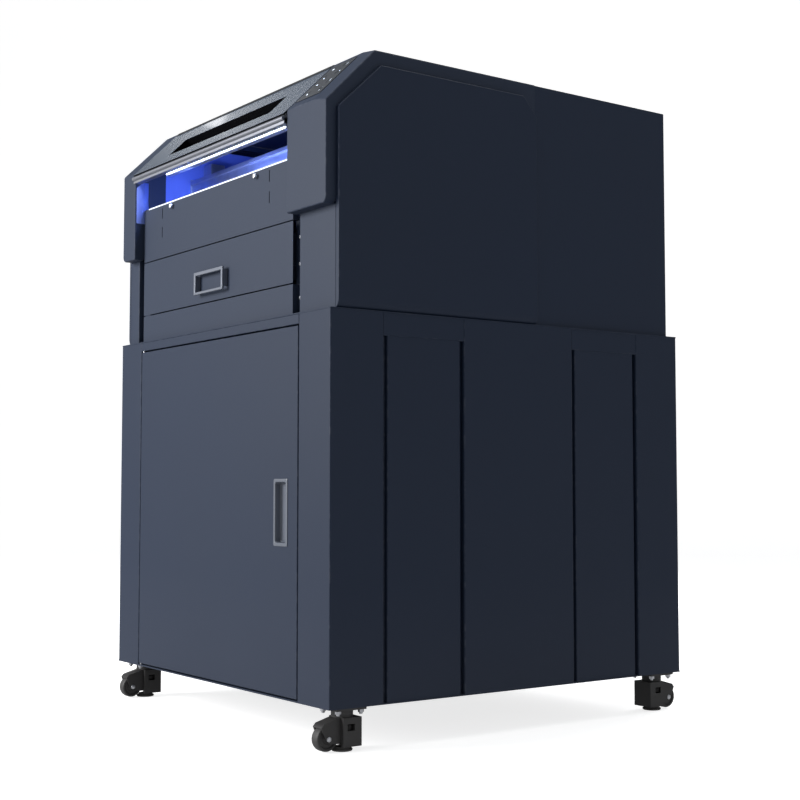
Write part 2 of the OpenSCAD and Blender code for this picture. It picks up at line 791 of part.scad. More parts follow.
// Cap with its side skin; the underside is open behind the pod's face
module cap(x0, x1, bevel) {
    color(steel_front) difference() {
        union() {
            cap_solid(x0, x1, 0, bevel);
            span([x1 - sheet, body_y0, deck_z], [x1, shell_y1, cap_z + 1]);
        }
        cap_solid(x0, x1, sheet, bevel);
        span([x0 - 1, body_y0 + eps, cap_z - 1], [x1 - sheet, shell_y1 + 1, cap_z + sheet + 1]);
        // the inner wall ends at the printing bay
        span([x0 - 1, inner_wall_y, cap_z - 1], [x0 + sheet + eps, shell_y1 + 1, top_z - cap_flange]);
    }
}

module left_cap() { mirror([1, 0, 0]) cap(-cap_l1, -cap_l0, false); }

module right_cap() { cap(cap_r0, cap_r1, true); }

// Bevelled glass of the control panel, with touch keys in four rows
module control_panel() {
    x0 = cap_r0 + 12;
    x1 = cap_r1 - bevel_w - 4;
    y0 = 22;
    y1 = slant_len - 16;
    color(black) on_slant() difference() {
        span([x0, y0, 0], [x1, y1, 1.2]);
        for (row = [0:3], col = [0:1])
            translate([x0 + 26 + col * 44, y0 + 24 + row * 31, 0.8]) cylinder(r = 8, h = 1);
    }
}

// Fixed top between the caps, behind the hood's hinge
module top_cover() {
    y0 = ridge_y + 5;
    color(steel_dark) {
        span([cap_l1, y0, top_z - sheet], [cap_r0, shell_y1, top_z]);
        span([cap_l1, y0 + leaf_w + 3, top_z - 14], [cap_r0, y0 + leaf_w + 5, top_z - sheet]);
    }
}

// Rear cover: open towards the caps and the deck
module rear_cover() {
    y0 = shell_y1;
    z1 = top_z - rear_step;
    slot_w = 90;
    color(steel_dark) difference() {
        span([-body_x, y0, deck_z], [body_x, body_y1, z1]);
        span([-body_x + sheet, y0 - 1, deck_z - 1], [body_x - sheet, body_y1 - sheet, z1 - sheet]);
        translate([fan_x, body_y1 - sheet - 1, fan_z]) rotate([-90, 0, 0])
            cylinder(r = fan_r + 2, h = sheet + 2);
        for (col = [0:1], row = [0:7])
            translate([60 + col * 130, body_y1, deck_z + 330 + row * 16])
                cube([slot_w, 5 * sheet, 5], center = true);
        span([inlet_x - 24, body_y1 - sheet - 1, inlet_z - 20], [inlet_x + 24, body_y1 + 1, inlet_z + 20]);
        span([switch_x - 18, body_y1 - sheet - 1, switch_z - 12],
             [switch_x + 18, body_y1 + 1, switch_z + 12]);
    }
}

// Exhaust fan's frame and its finger guard
module rear_fan() {
    color(black) translate([fan_x, body_y1, fan_z]) rotate([-90, 0, 0]) {
        difference() {
            translate([-63, -63, 0]) cube([126, 126, 4]);
            translate([0, 0, -1]) cylinder(r = fan_r, h = 6);
        }
        for (r = [18, 30, 42])
            difference() {
                translate([0, 0, 4]) cylinder(r = r + 1.4, h = 2.4);
                translate([0, 0, 3]) cylinder(r = r - 1.4, h = 5);
            }
        for (a = [0:90:270]) rotate([0, 0, a + 45]) translate([0, -1.4, 4]) cube([66, 2.8, 2]);
        translate([0, 0, 4]) cylinder(r = 10, h = 2.4);
    }
}

// Three-pin mains inlet, with the main switch's frame above it
module power_inlet() {
    switch_frame();
    color(black) translate([inlet_x, body_y1, inlet_z]) rotate([-90, 0, 0]) difference() {
        union() {
            translate([-29, -24, 0]) cube([58, 48, 3]);
            translate([-23.9, -19.9, -18]) cube([47.8, 39.8, 19]);
        }
        translate([-13, -9, -15]) cube([26, 18, 20]);
    }
    color(bright) translate([inlet_x, body_y1, inlet_z]) rotate([-90, 0, 0])
        for (p = [[-7, 0], [7, 0], [0, -4]]) translate([p[0] - 1, p[1] - 2.5, -15.5]) cube([2, 5, 14]);
}

// Rocker of the main switch, with a bore for its pivot pin
module main_switch() {
    color(black) translate([switch_x, body_y1 - 2, switch_z]) rotate([0, 90, 0]) difference() {
        translate([-10, -5, -13.5]) cube([20, 10, 27]);
        translate([0, 16, -14]) cylinder(r = 13.5, h = 28);
        translate([0, 0, -14]) cylinder(r = switch_pin_r + run_clear, h = 28);
    }
}

// Frame round the rocker, with the pivot pin across it
module switch_frame() {
    color(black) translate([switch_x, body_y1, switch_z]) difference() {
        translate([-19, 0, -15]) cube([38, 2, 30]);
        translate([-14.5, -1, -11]) cube([29, 4, 22]);
    }
    color(bright) {
        translate([switch_x - 17, body_y1 - 2, switch_z]) rotate([0, 90, 0])
            cylinder(r = switch_pin_r, h = 34);
        for (x = [-17, 14.6])
            translate([switch_x + x, body_y1 - 5, switch_z - 4]) cube([2.4, 5, 8]);
    }
}

// Inner walls and floor round the bed, lit by the lamp; the walls stand on the deck
module print_bay() {
    x0 = pod_l1 + sheet;
    x1 = pod_r0 - sheet;
    wall_drop = 26;
    wall_room = 6.2;
    wall_z1 = top_z - wall_drop;
    wall_y1 = ridge_y - (wall_drop - wall_room) / tan(slant_a);
    lip_z = panel_z1 + 42;
    y0 = body_y0 + channel_d + sheet;
    color(blue_lit) {
        for (x = [x0 - wall_t, x1])
            along_x(x, x + wall_t) polygon([
                [y0, deck_z], [y0, lip_z], [wall_y1, wall_z1], [bay_y1, wall_z1], [bay_y1, deck_z]
            ]);
        span([x0 - eps, y0 + 6, bay_z], [x1 + eps, bay_y1, bay_z + sheet]);
        span([x0 - eps, bay_y1 - sheet, deck_z], [x1 + eps, bay_y1, wall_z1]);
    }
}

// ---------------------------------------------------------------- front

// A front sheet folded back on all four edges, down to the channels' liners
module front_sheet(z0, z1) {
    difference() {
        span([mid_l, body_y0, z0], [mid_r, body_y0 + channel_d, z1]);
        span([mid_l + sheet, body_y0 + sheet, z0 + sheet],
             [mid_r - sheet, body_y0 + channel_d + 1, z1 - sheet]);
    }
}

module lower_strip() {
    color(steel_front) front_sheet(strip_z0, strip_z1);
}

// Upper front panel with pairs of upright slots
module front_panel() {
    slot_off = 266;
    color(steel_front) {
        difference() {
            front_sheet(panel_z0, panel_z1);
            for (x = [mid_x - slot_off, mid_x + slot_off], z = [panel_z1 - 36, panel_z1 - 84])
                span([x - 1.5, body_y0 - 1, z], [x + 1.5, body_y0 + sheet + 1, z + 26]);
            for (x = thumb_x) translate([x, body_y0 - 1, thumb_z]) rotate([-90, 0, 0])
                cylinder(r = 2.6, h = sheet + 2);
        }
        // tabs behind the channels' upper ends, against the caps
        for (x = [[cap_l1, mid_l + sheet], [mid_r - sheet, cap_r0]])
            span([x[0], body_y0 + channel_d - sheet, panel_z0 + 10],
                 [x[1], body_y0 + channel_d, panel_z1 - 8]);
    }
}

module thumbscrews() {
    color(bright) for (x = thumb_x) translate([x, body_y0, thumb_z]) rotate([90, 0, 0]) {
        cylinder(r = 6, h = 8);
        translate([0, 0, 8]) cylinder(r = 4.5, h = 1);
        translate([0, 0, -14]) cylinder(r = 2.5, h = 14);
    }
}

// Drawer: face and tray, and the two runners fixed to the tray's sides
module drawer() {
    tray_x0 = mid_l + tray_in;
    tray_x1 = mid_r - tray_in;
    tray_y0 = body_y0 + sheet;
    tray_z1 = drawer_z1 - 22;
    color(steel_front) {
        span([mid_l, body_y0, drawer_z0], [mid_r, body_y0 + sheet, drawer_z1]);
        difference() {
            span([tray_x0, tray_y0, tray_z0], [tray_x1, tray_y0 + tray_d, tray_z1]);
            span([tray_x0 + sheet, tray_y0 + sheet, tray_z0 + sheet],
                 [tray_x1 - sheet, tray_y0 + tray_d - sheet, tray_z1 + 1]);
        }
        for (x = [tray_x0 - runner_w, tray_x1 + touch_gap])
            span([x, tray_y0 + runner_in, tray_z0 + runner_z],
                 [x + runner_w - touch_gap, tray_y0 + tray_d - runner_in, tray_z0 + runner_z + runner_h]);
    }
}

// Handle: an upright rectangular frame on two feet
module drawer_handle() {
    zc = (drawer_z0 + drawer_z1) / 2 - 22;
    bar = 8;
    x0 = mid_x - handle_w / 2 + 7;
    y0 = body_y0 - handle_out;
    color([0.45, 0.48, 0.55]) {
        difference() {
            span([x0, y0, zc - handle_h / 2], [x0 + handle_w, y0 + 5, zc + handle_h / 2]);
            span([x0 + bar, y0 - 1, zc - handle_h / 2 + bar - 2],
                 [x0 + handle_w - bar, y0 + 6, zc + handle_h / 2 - bar]);
        }
        for (x = [x0, x0 + handle_w - bar])
            span([x, y0 + 5, zc - handle_h / 2 + 8], [x + bar, body_y0, zc + handle_h / 2 - 8]);
    }
}

// Fixed runners beside the drawer's tray, on brackets from the bay's walls
module drawer_slides() {
    z0 = tray_z0 + runner_z;
    y0 = body_y0 + channel_d + 6;
    y1 = y0 + tray_d - 30;
    xl = mid_l + tray_in - runner_w;
    xr = mid_r - tray_in + runner_w;
    lip = 3;
    color(bright) {
        for (z = [z0 - lip - touch_gap, z0 + runner_h + touch_gap]) {
            span([xl - 4, y0, z], [xl + 7.5, y1, z + lip]);
            span([xr - 7.5, y0, z], [xr + 4, y1, z + lip]);
        }
        span([xl - 4, y0, z0 - touch_gap], [xl - 0.4, y1, z0 + runner_h + touch_gap]);
        span([xr + 0.4, y0, z0 - touch_gap], [xr + 4, y1, z0 + runner_h + touch_gap]);
        for (y = [y0 + 20, y1 - 50]) {
            span([pod_l1 + sheet, y, z0 - 3], [xl - 4, y + 30, z0 + runner_h]);
            span([xr + 4, y, z0 - 3], [pod_r0 - sheet, y + 30, z0 + runner_h]);
        }
    }
}

// ---------------------------------------------------------------- hood

// Slanted hood panel with the hand scoop pressed into it
module hood_panel() {
    y1 = slant_len - hinge_off;
    x0 = scoop_x0;
    x1 = scoop_x0 + scoop_w;
    skin = 2;
    rib = 12;
    color(hood_blue) on_slant() difference() {
        union() {
            span([hood_l, -lip_drop, -hood_t], [hood_r, y1, 0]);
            along_x(x0 - skin, x1 + skin) polygon([
                [scoop_low - 4, -hood_t + eps], [scoop_high + skin, -hood_t + eps],
                [scoop_high + skin, -scoop_depth - skin], [scoop_high - 4, -scoop_depth - skin]
            ]);
            for (x = [hood_l, hood_r - rib]) span([x, 10, -16], [x + rib, y1 - 34, -hood_t + eps]);
        }
        along_x(x0, x1) polygon([
            [scoop_low, 0.5], [scoop_high, 0.5], [scoop_high, -scoop_depth],
            [scoop_high - 6, -scoop_depth], [scoop_low, -0.5]
        ]);
    }
}

// Lip rail along the hood's lower edge, on a dark carrier
module hood_rail() {
    color([0.5, 0.5, 0.53]) {
        difference() {
            along_x(hood_l, hood_r) union() {
                translate([rail_y, rail_z]) circle(r = rail_r);
                translate([rail_y, rail_z - 12]) square([16, 12 + rail_r - 2]);
            }
            span([hood_l - 1, rail_y + 2, rail_z - 10], [hood_r + 1, rail_y + 14, rail_z + rail_r - 4]);
        }
        on_slant() span([hood_l, -lip_drop + carrier_in, -hood_t - carrier_t], [hood_r, 8, -hood_t]);
    }
}

// Barrel segments of one hinge leaf
module hinge_barrel(first) {
    for (k = [first:2:knuckles - 1])
        translate([hood_l + k * knuckle_l + touch_gap / 2, hinge_y, hinge_z]) rotate([0, 90, 0])
            cylinder(r = hinge_r, h = knuckle_l - touch_gap);
}

module hinge_bore() {
    translate([hood_l - 1, hinge_y, hinge_z]) rotate([0, 90, 0])
        cylinder(r = hinge_pin_r + run_clear, h = hood_w + 2);
}

// Fixed leaf under the top cover, with the hinge pin
module hood_hinge_fixed() {
    color(black) {
        difference() {
            union() {
                hinge_barrel(0);
                for (k = [0:2:knuckles - 1])
                    span([hood_l + k * knuckle_l + touch_gap / 2, hinge_y, top_z - sheet - leaf_t],
                         [hood_l + (k + 1) * knuckle_l - touch_gap / 2, hinge_y + 7, top_z - sheet]);
                span([hood_l, hinge_y + 6, top_z - sheet - leaf_t],
                     [hood_r, hinge_y + 6 + leaf_w, top_z - sheet]);
            }
            hinge_bore();
        }
        translate([hood_l, hinge_y, hinge_z]) rotate([0, 90, 0]) cylinder(r = hinge_pin_r, h = hood_w);
    }
}

// Moving leaf under the hood panel
module hood_hinge_moving() {
    y1 = slant_len - hinge_off;
    color(black) difference() {
        union() {
            hinge_barrel(1);
            on_slant() {
                span([hood_l + 1, y1 - leaf_w, -hood_t - leaf_t], [hood_r - 1, y1, -hood_t]);
                for (k = [1:2:knuckles - 1])
                    span([hood_l + k * knuckle_l + 2, y1 - 1, -hood_t - leaf_t],
                         [hood_l + (k + 1) * knuckle_l - 2, slant_len - hinge_r - 0.5, -hood_t]);
            }
        }
        hinge_bore();
    }
}

// White lamp in an aluminium channel, hung from the hood's carrier
module led_bar() {
    x0 = mid_l + 148;
    x1 = hood_r - 20;
    y0 = cap_y + 12;
    z0 = foot_z - 33;
    color(bright) difference() {
        span([x0, y0, z0], [x1, y0 + 14, z0 + 14]);
        span([x0 + 2, y0 - 1, z0 + 2], [x1 - 2, y0 + 2, z0 + 12]);
    }
    color(black) for (x = [x0 + 4, x1 - 60]) {
        span([x, y0 + 4, z0 + 14], [x + 30, y0 + 10, z0 + 20]);
        span([x, rail_y + 16, rail_z - 4], [x + 30, y0 + 10, z0 + 14 + 6]);
    }
}

// ---------------------------------------------------------------- printing unit

// Beam with two linear rails, end brackets and the belt's motor
module gantry() {
    x0 = pod_l1 + sheet;
    x1 = pod_r0 - sheet;
    color([0.55, 0.57, 0.6]) {
        difference() {
            span([x0 + 4, beam_y0, beam_z0], [x1 - 4, beam_y0 + beam_d, beam_z1]);
            span([x0 + 3, beam_y0 + 4, beam_z0 + 4], [x1 - 3, beam_y0 + beam_d - 4, beam_z1 - 4]);
        }
        for (z = [beam_z0 + 4, beam_z1 - rail_h - 1])
            span([x0 + 10, beam_y0 - rail_d, z], [x1 - 10, beam_y0, z + rail_h]);
    }
    color(black) {
        for (x = [x0, x1 - 4])
            span([x, beam_y0 - 4, beam_z0 - 40], [x + 4, beam_y0 + beam_d + 10, beam_z1 + 6]);
        translate([x0 + 30, beam_y0 + 20, beam_z1]) span([0, 0, 0], [42, 42, 40]);
    }
}

// Print carriage: back plate that rides on the rails, with a cover
module carriage() {
    grip = 5;
    z0 = carriage_z0;
    z1 = beam_z1 + 18;
    back_y = beam_y0 - rail_d - touch_gap;
    color(bright) {
        span([carriage_x0, back_y - 8, beam_z0 + 2], [carriage_x1, back_y, z1]);
        for (z = [beam_z0 + 4, beam_z1 - rail_h - 1]) {
            span([carriage_x0 + 8, back_y - eps, z + rail_h + touch_gap],
                 [carriage_x1 - 8, back_y + grip, z + rail_h + touch_gap + 3]);
            span([carriage_x0 + 8, back_y - eps, z - touch_gap - 3],
                 [carriage_x1 - 8, back_y + grip, z - touch_gap]);
        }
    }
    color(black) difference() {
        span([carriage_x0, carriage_y0, z0 + 40], [carriage_x1, back_y - 8, z1]);
        span([carriage_x0 + 3, carriage_y0 + 3, z0 + 39], [carriage_x1 - 3, back_y - 7, z1 - 3]);
    }
}

// Head block on the lift, with three print heads and a UV lamp
module print_heads() {
    x0 = carriage_x0 + 4;
    x1 = carriage_x1 - 4;
    y0 = carriage_y0 + 4;
    y1 = beam_y0 - rail_d - touch_gap - 8 - touch_gap;
    color([0.6, 0.6, 0.63]) {
        span([x0, y0, head_z0 + 20], [x1, y1, carriage_z0 + 30]);
        for (k = [0:2]) span([x0 + 4 + k * 20, y0 + 8, head_z0], [x0 + 18 + k * 20, y1 - 6, head_z0 + 20]);
    }
    color(black) span([x1 - 28, y0 + 4, head_z0 + 4], [x1 - 4, y1 - 4, head_z0 + 20]);
}

// Vacuum bed on four bearing blocks
module bed() {
    z0 = bed_z1 - bed_t;
    xl = bed_x0 + 100;
    xr = bed_x0 + bed_w - 100;
    block_l = 50;
    color([0.62, 0.64, 0.67]) {
        difference() {
            span([bed_x0, bed_y0, z0], [bed_x0 + bed_w, bed_y0 + bed_d, bed_z1]);
            for (a = [0:4], b = [0:3])
                translate([bed_x0 + bed_w * (a + 1) / 6, bed_y0 + bed_d * (b + 1) / 5, z0 - 1])
                    cylinder(r = 3, h = bed_t + 2, $fn = 16);
        }
        for (x = [xl, xr], y = [bed_y0 + 40, bed_y0 + bed_d - 40 - block_l])
            difference() {
                span([x - 24, y, bay_z + sheet + 6], [x + 24, y + block_l, z0]);
                span([x - guide_w / 2 - touch_gap, y - 1, bay_z],
                     [x + guide_w / 2 + touch_gap, y + block_l + 1, bay_z + sheet + guide_h + touch_gap]);
            }
    }
}

// Two guide rails and the lead screw on the bay's floor, with the capping station
module bed_guides() {
    y0 = bay_y0 + 24;
    y1 = bay_y1 - 10;
    z0 = bay_z + sheet;
    color(bright) {
        for (x = [bed_x0 + 100, bed_x0 + bed_w - 100])
            span([x - guide_w / 2, y0, z0], [x + guide_w / 2, y1, z0 + guide_h]);
        translate([bed_x0 + bed_w / 2, y0 + 10, z0 + 24]) rotate([-90, 0, 0])
            cylinder(r = screw_r, h = y1 - y0 - 70);
    }
    color(black) {
        for (y = [y0, y1 - 60]) difference() {
            span([bed_x0 + bed_w / 2 - 25, y, z0], [bed_x0 + bed_w / 2 + 25, y + 20, z0 + 46]);
            translate([bed_x0 + bed_w / 2, y - 1, z0 + 24]) rotate([-90, 0, 0])
                cylinder(r = screw_r + run_clear, h = 22);
        }
        span([carriage_x0 + 12, carriage_y0 - 6, z0], [carriage_x1 - 6, beam_y0 - 14, head_z0 - 3]);
    }
}

// ---------------------------------------------------------------- drawing

cabinet_frame();
cabinet_base();
cabinet_deck();
corner_posts();
side_centre_panels();
side_inset_panels();
door_header();
rear_panel();
rear_panel_screws();
shelf();
power_supply();
waste_bottle();
air_pump();
door_pivots();
door_latch();
cabinet_door();
door_pull();
caster_plates();
caster_bolts();
housing(0);  // housing_fl
housing(1);  // housing_fr
housing(2);  // housing_rl
housing(3);  // housing_rr
wheel(0);  // wheel_fl
wheel(1);  // wheel_fr
wheel(2);  // wheel_rl
wheel(3);  // wheel_rr
foot(0);  // foot_fl
foot(1);  // foot_fr
foot(2);  // foot_rl
foot(3);  // foot_rr
left_pod();
right_pod();
left_side_cover();
right_side_cover();
left_cap();
right_cap();
control_panel();
top_cover();
rear_cover();
rear_fan();
power_inlet();
main_switch();
print_bay();
lower_strip();
front_panel();
thumbscrews();
drawer();
drawer_handle();
drawer_slides();
hood_panel();
hood_rail();
hood_hinge_fixed();
hood_hinge_moving();
led_bar();
gantry();
carriage();
print_heads();
bed();
bed_guides();
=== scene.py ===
import math

import bmesh
import bpy
from mathutils import Matrix, Vector


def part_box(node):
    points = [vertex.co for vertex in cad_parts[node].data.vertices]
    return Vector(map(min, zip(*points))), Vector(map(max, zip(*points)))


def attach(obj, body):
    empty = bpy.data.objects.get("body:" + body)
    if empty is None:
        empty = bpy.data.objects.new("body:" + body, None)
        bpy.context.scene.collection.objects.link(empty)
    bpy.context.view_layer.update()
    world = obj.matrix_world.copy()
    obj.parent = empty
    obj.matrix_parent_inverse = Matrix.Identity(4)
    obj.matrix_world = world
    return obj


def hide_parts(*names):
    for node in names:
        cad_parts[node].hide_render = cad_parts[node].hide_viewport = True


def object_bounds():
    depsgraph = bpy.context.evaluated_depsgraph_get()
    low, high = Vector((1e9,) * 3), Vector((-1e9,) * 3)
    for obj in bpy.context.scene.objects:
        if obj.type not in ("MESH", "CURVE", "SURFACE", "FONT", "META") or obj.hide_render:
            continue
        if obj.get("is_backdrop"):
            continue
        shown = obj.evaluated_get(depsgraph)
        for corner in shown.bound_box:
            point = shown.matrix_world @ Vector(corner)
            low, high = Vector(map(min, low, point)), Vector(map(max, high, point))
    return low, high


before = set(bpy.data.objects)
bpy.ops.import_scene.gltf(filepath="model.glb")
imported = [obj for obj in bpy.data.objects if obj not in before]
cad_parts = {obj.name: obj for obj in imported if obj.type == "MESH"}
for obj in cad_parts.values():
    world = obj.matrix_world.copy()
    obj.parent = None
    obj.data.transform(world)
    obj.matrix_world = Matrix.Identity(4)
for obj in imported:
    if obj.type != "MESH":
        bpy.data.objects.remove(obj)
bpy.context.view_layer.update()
scene = bpy.context.scene

# ---------------------------------------------------------------- camera
# A long lens at knee height off the machine's right front corner, tilted up by a few degrees.

camera = bpy.data.objects.new("camera", bpy.data.cameras.new("camera"))
scene.collection.objects.link(camera)
camera.data.sensor_width = 36.0
camera.data.lens = 62.98
camera.location = (2.88745, -2.05515, 0.54061)
camera.rotation_euler = (math.radians(90 + 3.514), 0.0, math.radians(54.177))
scene.camera = camera
scene.view_settings.view_transform = "Standard"

# ---------------------------------------------------------------- studio
# A pale floor that curves up into a wall all round, well outside the machine.
# Four large soft boxes light the machine, a card lights the hood, and three small lamps light the bay.


def add_node(tree, kind, inputs=None, **settings):
    """Adds a node; inputs maps a socket's name or number to a value or to another node's socket."""
    made = tree.nodes.new(kind)
    for name, value in settings.items():
        setattr(made, name, value)
    for key, value in (inputs or {}).items():
        if isinstance(value, bpy.types.NodeSocket):
            tree.links.new(value, made.inputs[key])
        else:
            made.inputs[key].default_value = value
    return made


def plain_mesh(name, bm):
    """Empties a bmesh into a new mesh."""
    mesh = bpy.data.meshes.new(name)
    bm.to_mesh(mesh)
    bm.free()
    return mesh


cove = bmesh.new()
bend_from, bend_r, wall_top, turns = 8.0, 3.0, 6.0, 64
profile = [(0.0, 0.0), (2.0, 0.0), (bend_from, 0.0)]
profile += [
    (bend_from + bend_r * math.sin(a), bend_r * (1 - math.cos(a)))
    for a in (math.radians(10 * k) for k in range(1, 10))
]
profile.append((bend_from + bend_r, wall_top))
rings = [
    [
        cove.verts.new((r * math.cos(2 * math.pi * k / turns), r * math.sin(2 * math.pi * k / turns), z))
        for k in range(turns)
    ]
    for r, z in profile[1:]
]
cove.faces.new(rings[0])
for inner, outer in zip(rings, rings[1:]):
    for k in range(turns):
        cove.faces.new((inner[k], outer[k], outer[(k + 1) % turns], inner[(k + 1) % turns]))
cove_mesh = plain_mesh("cove", cove)
for face in cove_mesh.polygons:
    face.use_smooth = True
cove_object = bpy.data.objects.new("cove", cove_mesh)
scene.collection.objects.link(cove_object)
cove_object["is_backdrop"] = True

cove_paint = bpy.data.materials.new("cove_paint")
cove_paint.use_nodes = True
tree = cove_paint.node_tree
tree.nodes.clear()
place = add_node(tree, "ShaderNodeTexCoord")
mottle = add_node(tree, "ShaderNodeTexNoise", {"Vector": place.outputs["Object"], "Scale": 1.5})
tone = add_node(tree, "ShaderNodeMapRange", {"Value": mottle.outputs["Fac"], "To Min": 0.56, "To Max": 0.6})
matt = add_node(tree, "ShaderNodeBsdfDiffuse", {"Color": tone.outputs["Result"]})
glow = add_node(tree, "ShaderNodeEmission", {"Color": (1.0, 1.0, 1.0, 1.0), "Strength": 0.78})
rays = add_node(tree, "ShaderNodeLightPath")
seen = add_node(tree, "ShaderNodeMixShader", {0: 0.22, 1: matt.outputs[0], 2: glow.outputs[0]})
total = add_node(tree, "ShaderNodeAddShader", {0: matt.outputs[0], 1: glow.outputs[0]})
pick = add_node(
    tree, "ShaderNodeMixShader", {0: rays.outputs["Is Camera Ray"], 1: seen.outputs[0], 2: total.outputs[0]}
)
add_node(tree, "ShaderNodeOutputMaterial", {"Surface": pick.outputs[0]})
cove_mesh.materials.append(cove_paint)

scene.world = bpy.data.worlds.new("studio_air")
scene.world.use_nodes = True
sky = scene.world.node_tree.nodes["Background"]
sky.inputs["Color"].default_value = (0.90, 0.95, 1.0, 1.0)
sky.inputs["Strength"].default_value = 0.26


def soft_box(name, place_m, aim_m, size_m, watts, tint=(1.0, 1.0, 1.0)):
    """Hangs a rectangular lamp at one point and turns it to another."""
    lamp = bpy.data.lights.new(name, "AREA")
    lamp.shape = "RECTANGLE"
    lamp.size, lamp.size_y = size_m
    lamp.energy = watts
    lamp.color = tint
    holder = bpy.data.objects.new(name, lamp)
    holder.location = place_m
    holder.rotation_euler = (Vector(aim_m) - Vector(place_m)).to_track_quat("-Z", "Y").to_euler()
    scene.collection.objects.link(holder)
    return holder


soft_box("key_box", (-1.9, -4.6, 2.3), (0.0, 0.0, 0.75), (2.4, 2.6), 330)
soft_box("top_box", (0.3, 0.4, 4.4), (0.0, 0.0, 1.0), (3.2, 3.2), 70)
soft_box("side_box", (4.6, 1.2, 1.5), (0.3, 0.2, 0.8), (2.0, 2.0), 6, (0.86, 0.93, 1.0))
soft_box("back_box", (-1.5, 4.6, 2.4), (0.0, 0.2, 0.9), (2.4, 2.4), 160)
hood_card = soft_box("hood_card", (-3.9, 2.75, 2.7), (0.1, -0.1, 1.45), (4.0, 2.6), 70)
hood_card.visible_camera = False

# three small lamps in the printing bay: blue on its back wall and left end, white down on the bed
bay_low, bay_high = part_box("led_bar")
bay_x = (bay_low.x + bay_high.x) / 2
bay_lamp = (bay_x, bay_low.y + 0.030, bay_low.z - 0.006)
soft_box("bay_back", bay_lamp, (bay_x, 0.10, bay_low.z - 0.02), (0.55, 0.02), 1.7, (0.18, 0.28, 1.0))
soft_box(
    "bay_end", (bay_low.x + 0.12, bay_low.y + 0.035, bay_low.z - 0.02),
    (bay_low.x - 0.20, bay_low.y + 0.02, bay_low.z - 0.04), (0.03, 0.03), 0.7, (0.26, 0.38, 1.0),
)
soft_box(
    "bay_bed", bay_lamp, (bay_x, bay_low.y - 0.02, bay_low.z - 0.30), (0.60, 0.01), 0.4, (0.70, 0.82, 1.0)
)

# ---------------------------------------------------------------- finishes
# Powder coat, plating, moulded plastic and rubber. Each finish is a named material that reads
# the two surface groups below, so that grain, rub marks and dust have the same scale everywhere.


def surface_group(name, inputs, outputs):
    """Makes an empty shader group with named inputs and outputs."""
    tree = bpy.data.node_groups.new(name, "ShaderNodeTree")
    for label, kind, start in inputs:
        socket = tree.interface.new_socket(label, in_out="INPUT", socket_type=kind)
        socket.default_value = start
    for label, kind in outputs:
        tree.interface.new_socket(label, in_out="OUTPUT", socket_type=kind)
    return tree, tree.nodes.new("NodeGroupInput"), tree.nodes.new("NodeGroupOutput")


def blend(tree, share, first, second, mode="MIX"):
    """Mixes two colours and returns the mixed colour's socket."""
    mix = add_node(tree, "ShaderNodeMix", data_type="RGBA", blend_type=mode)
    for key, value in ((0, share), (6, first), (7, second)):
        if isinstance(value, bpy.types.NodeSocket):
            tree.links.new(value, mix.inputs[key])
        else:
            mix.inputs[key].default_value = value
    return mix.outputs[2]


def number(tree, action, *values):
    """Adds a Math node and returns its result."""
    return add_node(tree, "ShaderNodeMath", dict(enumerate(values)), operation=action).outputs[0]


coated, given, put = surface_group(
    "coated_surface",
    [
        ("Color", "NodeSocketColor", (0.1, 0.1, 0.1, 1.0)),
        ("Bare Color", "NodeSocketColor", (0.4, 0.4, 0.4, 1.0)),
        ("Roughness", "NodeSocketFloat", 0.45),
        ("Grain Scale", "NodeSocketFloat", 700.0),
        ("Mottle", "NodeSocketFloat", 0.1),
        ("Rub", "NodeSocketFloat", 0.5),
        ("Dust", "NodeSocketFloat", 0.2),
    ],
    [("Color", "NodeSocketColor"), ("Roughness", "NodeSocketFloat"), ("Height", "NodeSocketFloat")],
)
where = add_node(coated, "ShaderNodeTexCoord").outputs["Object"]
grain = add_node(
    coated, "ShaderNodeTexNoise", {"Vector": where, "Scale": given.outputs["Grain Scale"], "Detail": 2.0}
).outputs["Fac"]
cloud = add_node(coated, "ShaderNodeTexNoise", {"Vector": where, "Scale": 2.6, "Detail": 4.0}).outputs["Fac"]
patch = add_node(coated, "ShaderNodeTexNoise", {"Vector": where, "Scale": 55.0, "Detail": 3.0}).outputs["Fac"]
edge = add_node(coated, "ShaderNodeAttribute", attribute_name="edge").outputs["Fac"]
patchy = add_node(
    coated, "ShaderNodeMapRange", {"Value": patch, "From Min": 0.5, "From Max": 0.66}
).outputs["Result"]
rubbed = number(coated, "MULTIPLY", number(coated, "MULTIPLY", edge, patchy), given.outputs["Rub"])
height_m = add_node(coated, "ShaderNodeSeparateXYZ", {0: where}).outputs["Z"]
low_down = add_node(
    coated, "ShaderNodeMapRange", {"Value": height_m, "From Min": 0.34, "From Max": 0.03}
).outputs["Result"]
dusty = number(
    coated, "MULTIPLY", number(coated, "MULTIPLY", low_down, cloud), given.outputs["Dust"]
)
lift = number(coated, "MULTIPLY", cloud, given.outputs["Mottle"])
lighter = blend(coated, 1.0, given.outputs["Color"], (1.25, 1.25, 1.28, 1.0), "MULTIPLY")
colour = blend(coated, lift, given.outputs["Color"], lighter)
colour = blend(coated, dusty, colour, (0.20, 0.19, 0.185, 1.0))
colour = blend(coated, rubbed, colour, given.outputs["Bare Color"])
coated.links.new(colour, put.inputs["Color"])
rough = number(coated, "MULTIPLY_ADD", grain, 0.10, given.outputs["Roughness"])
rough = number(coated, "MULTIPLY_ADD", cloud, 0.10, rough)
rough = number(coated, "MULTIPLY_ADD", rubbed, -0.12, rough)
coated.links.new(rough, put.inputs["Roughness"])
coated.links.new(grain, put.inputs["Height"])

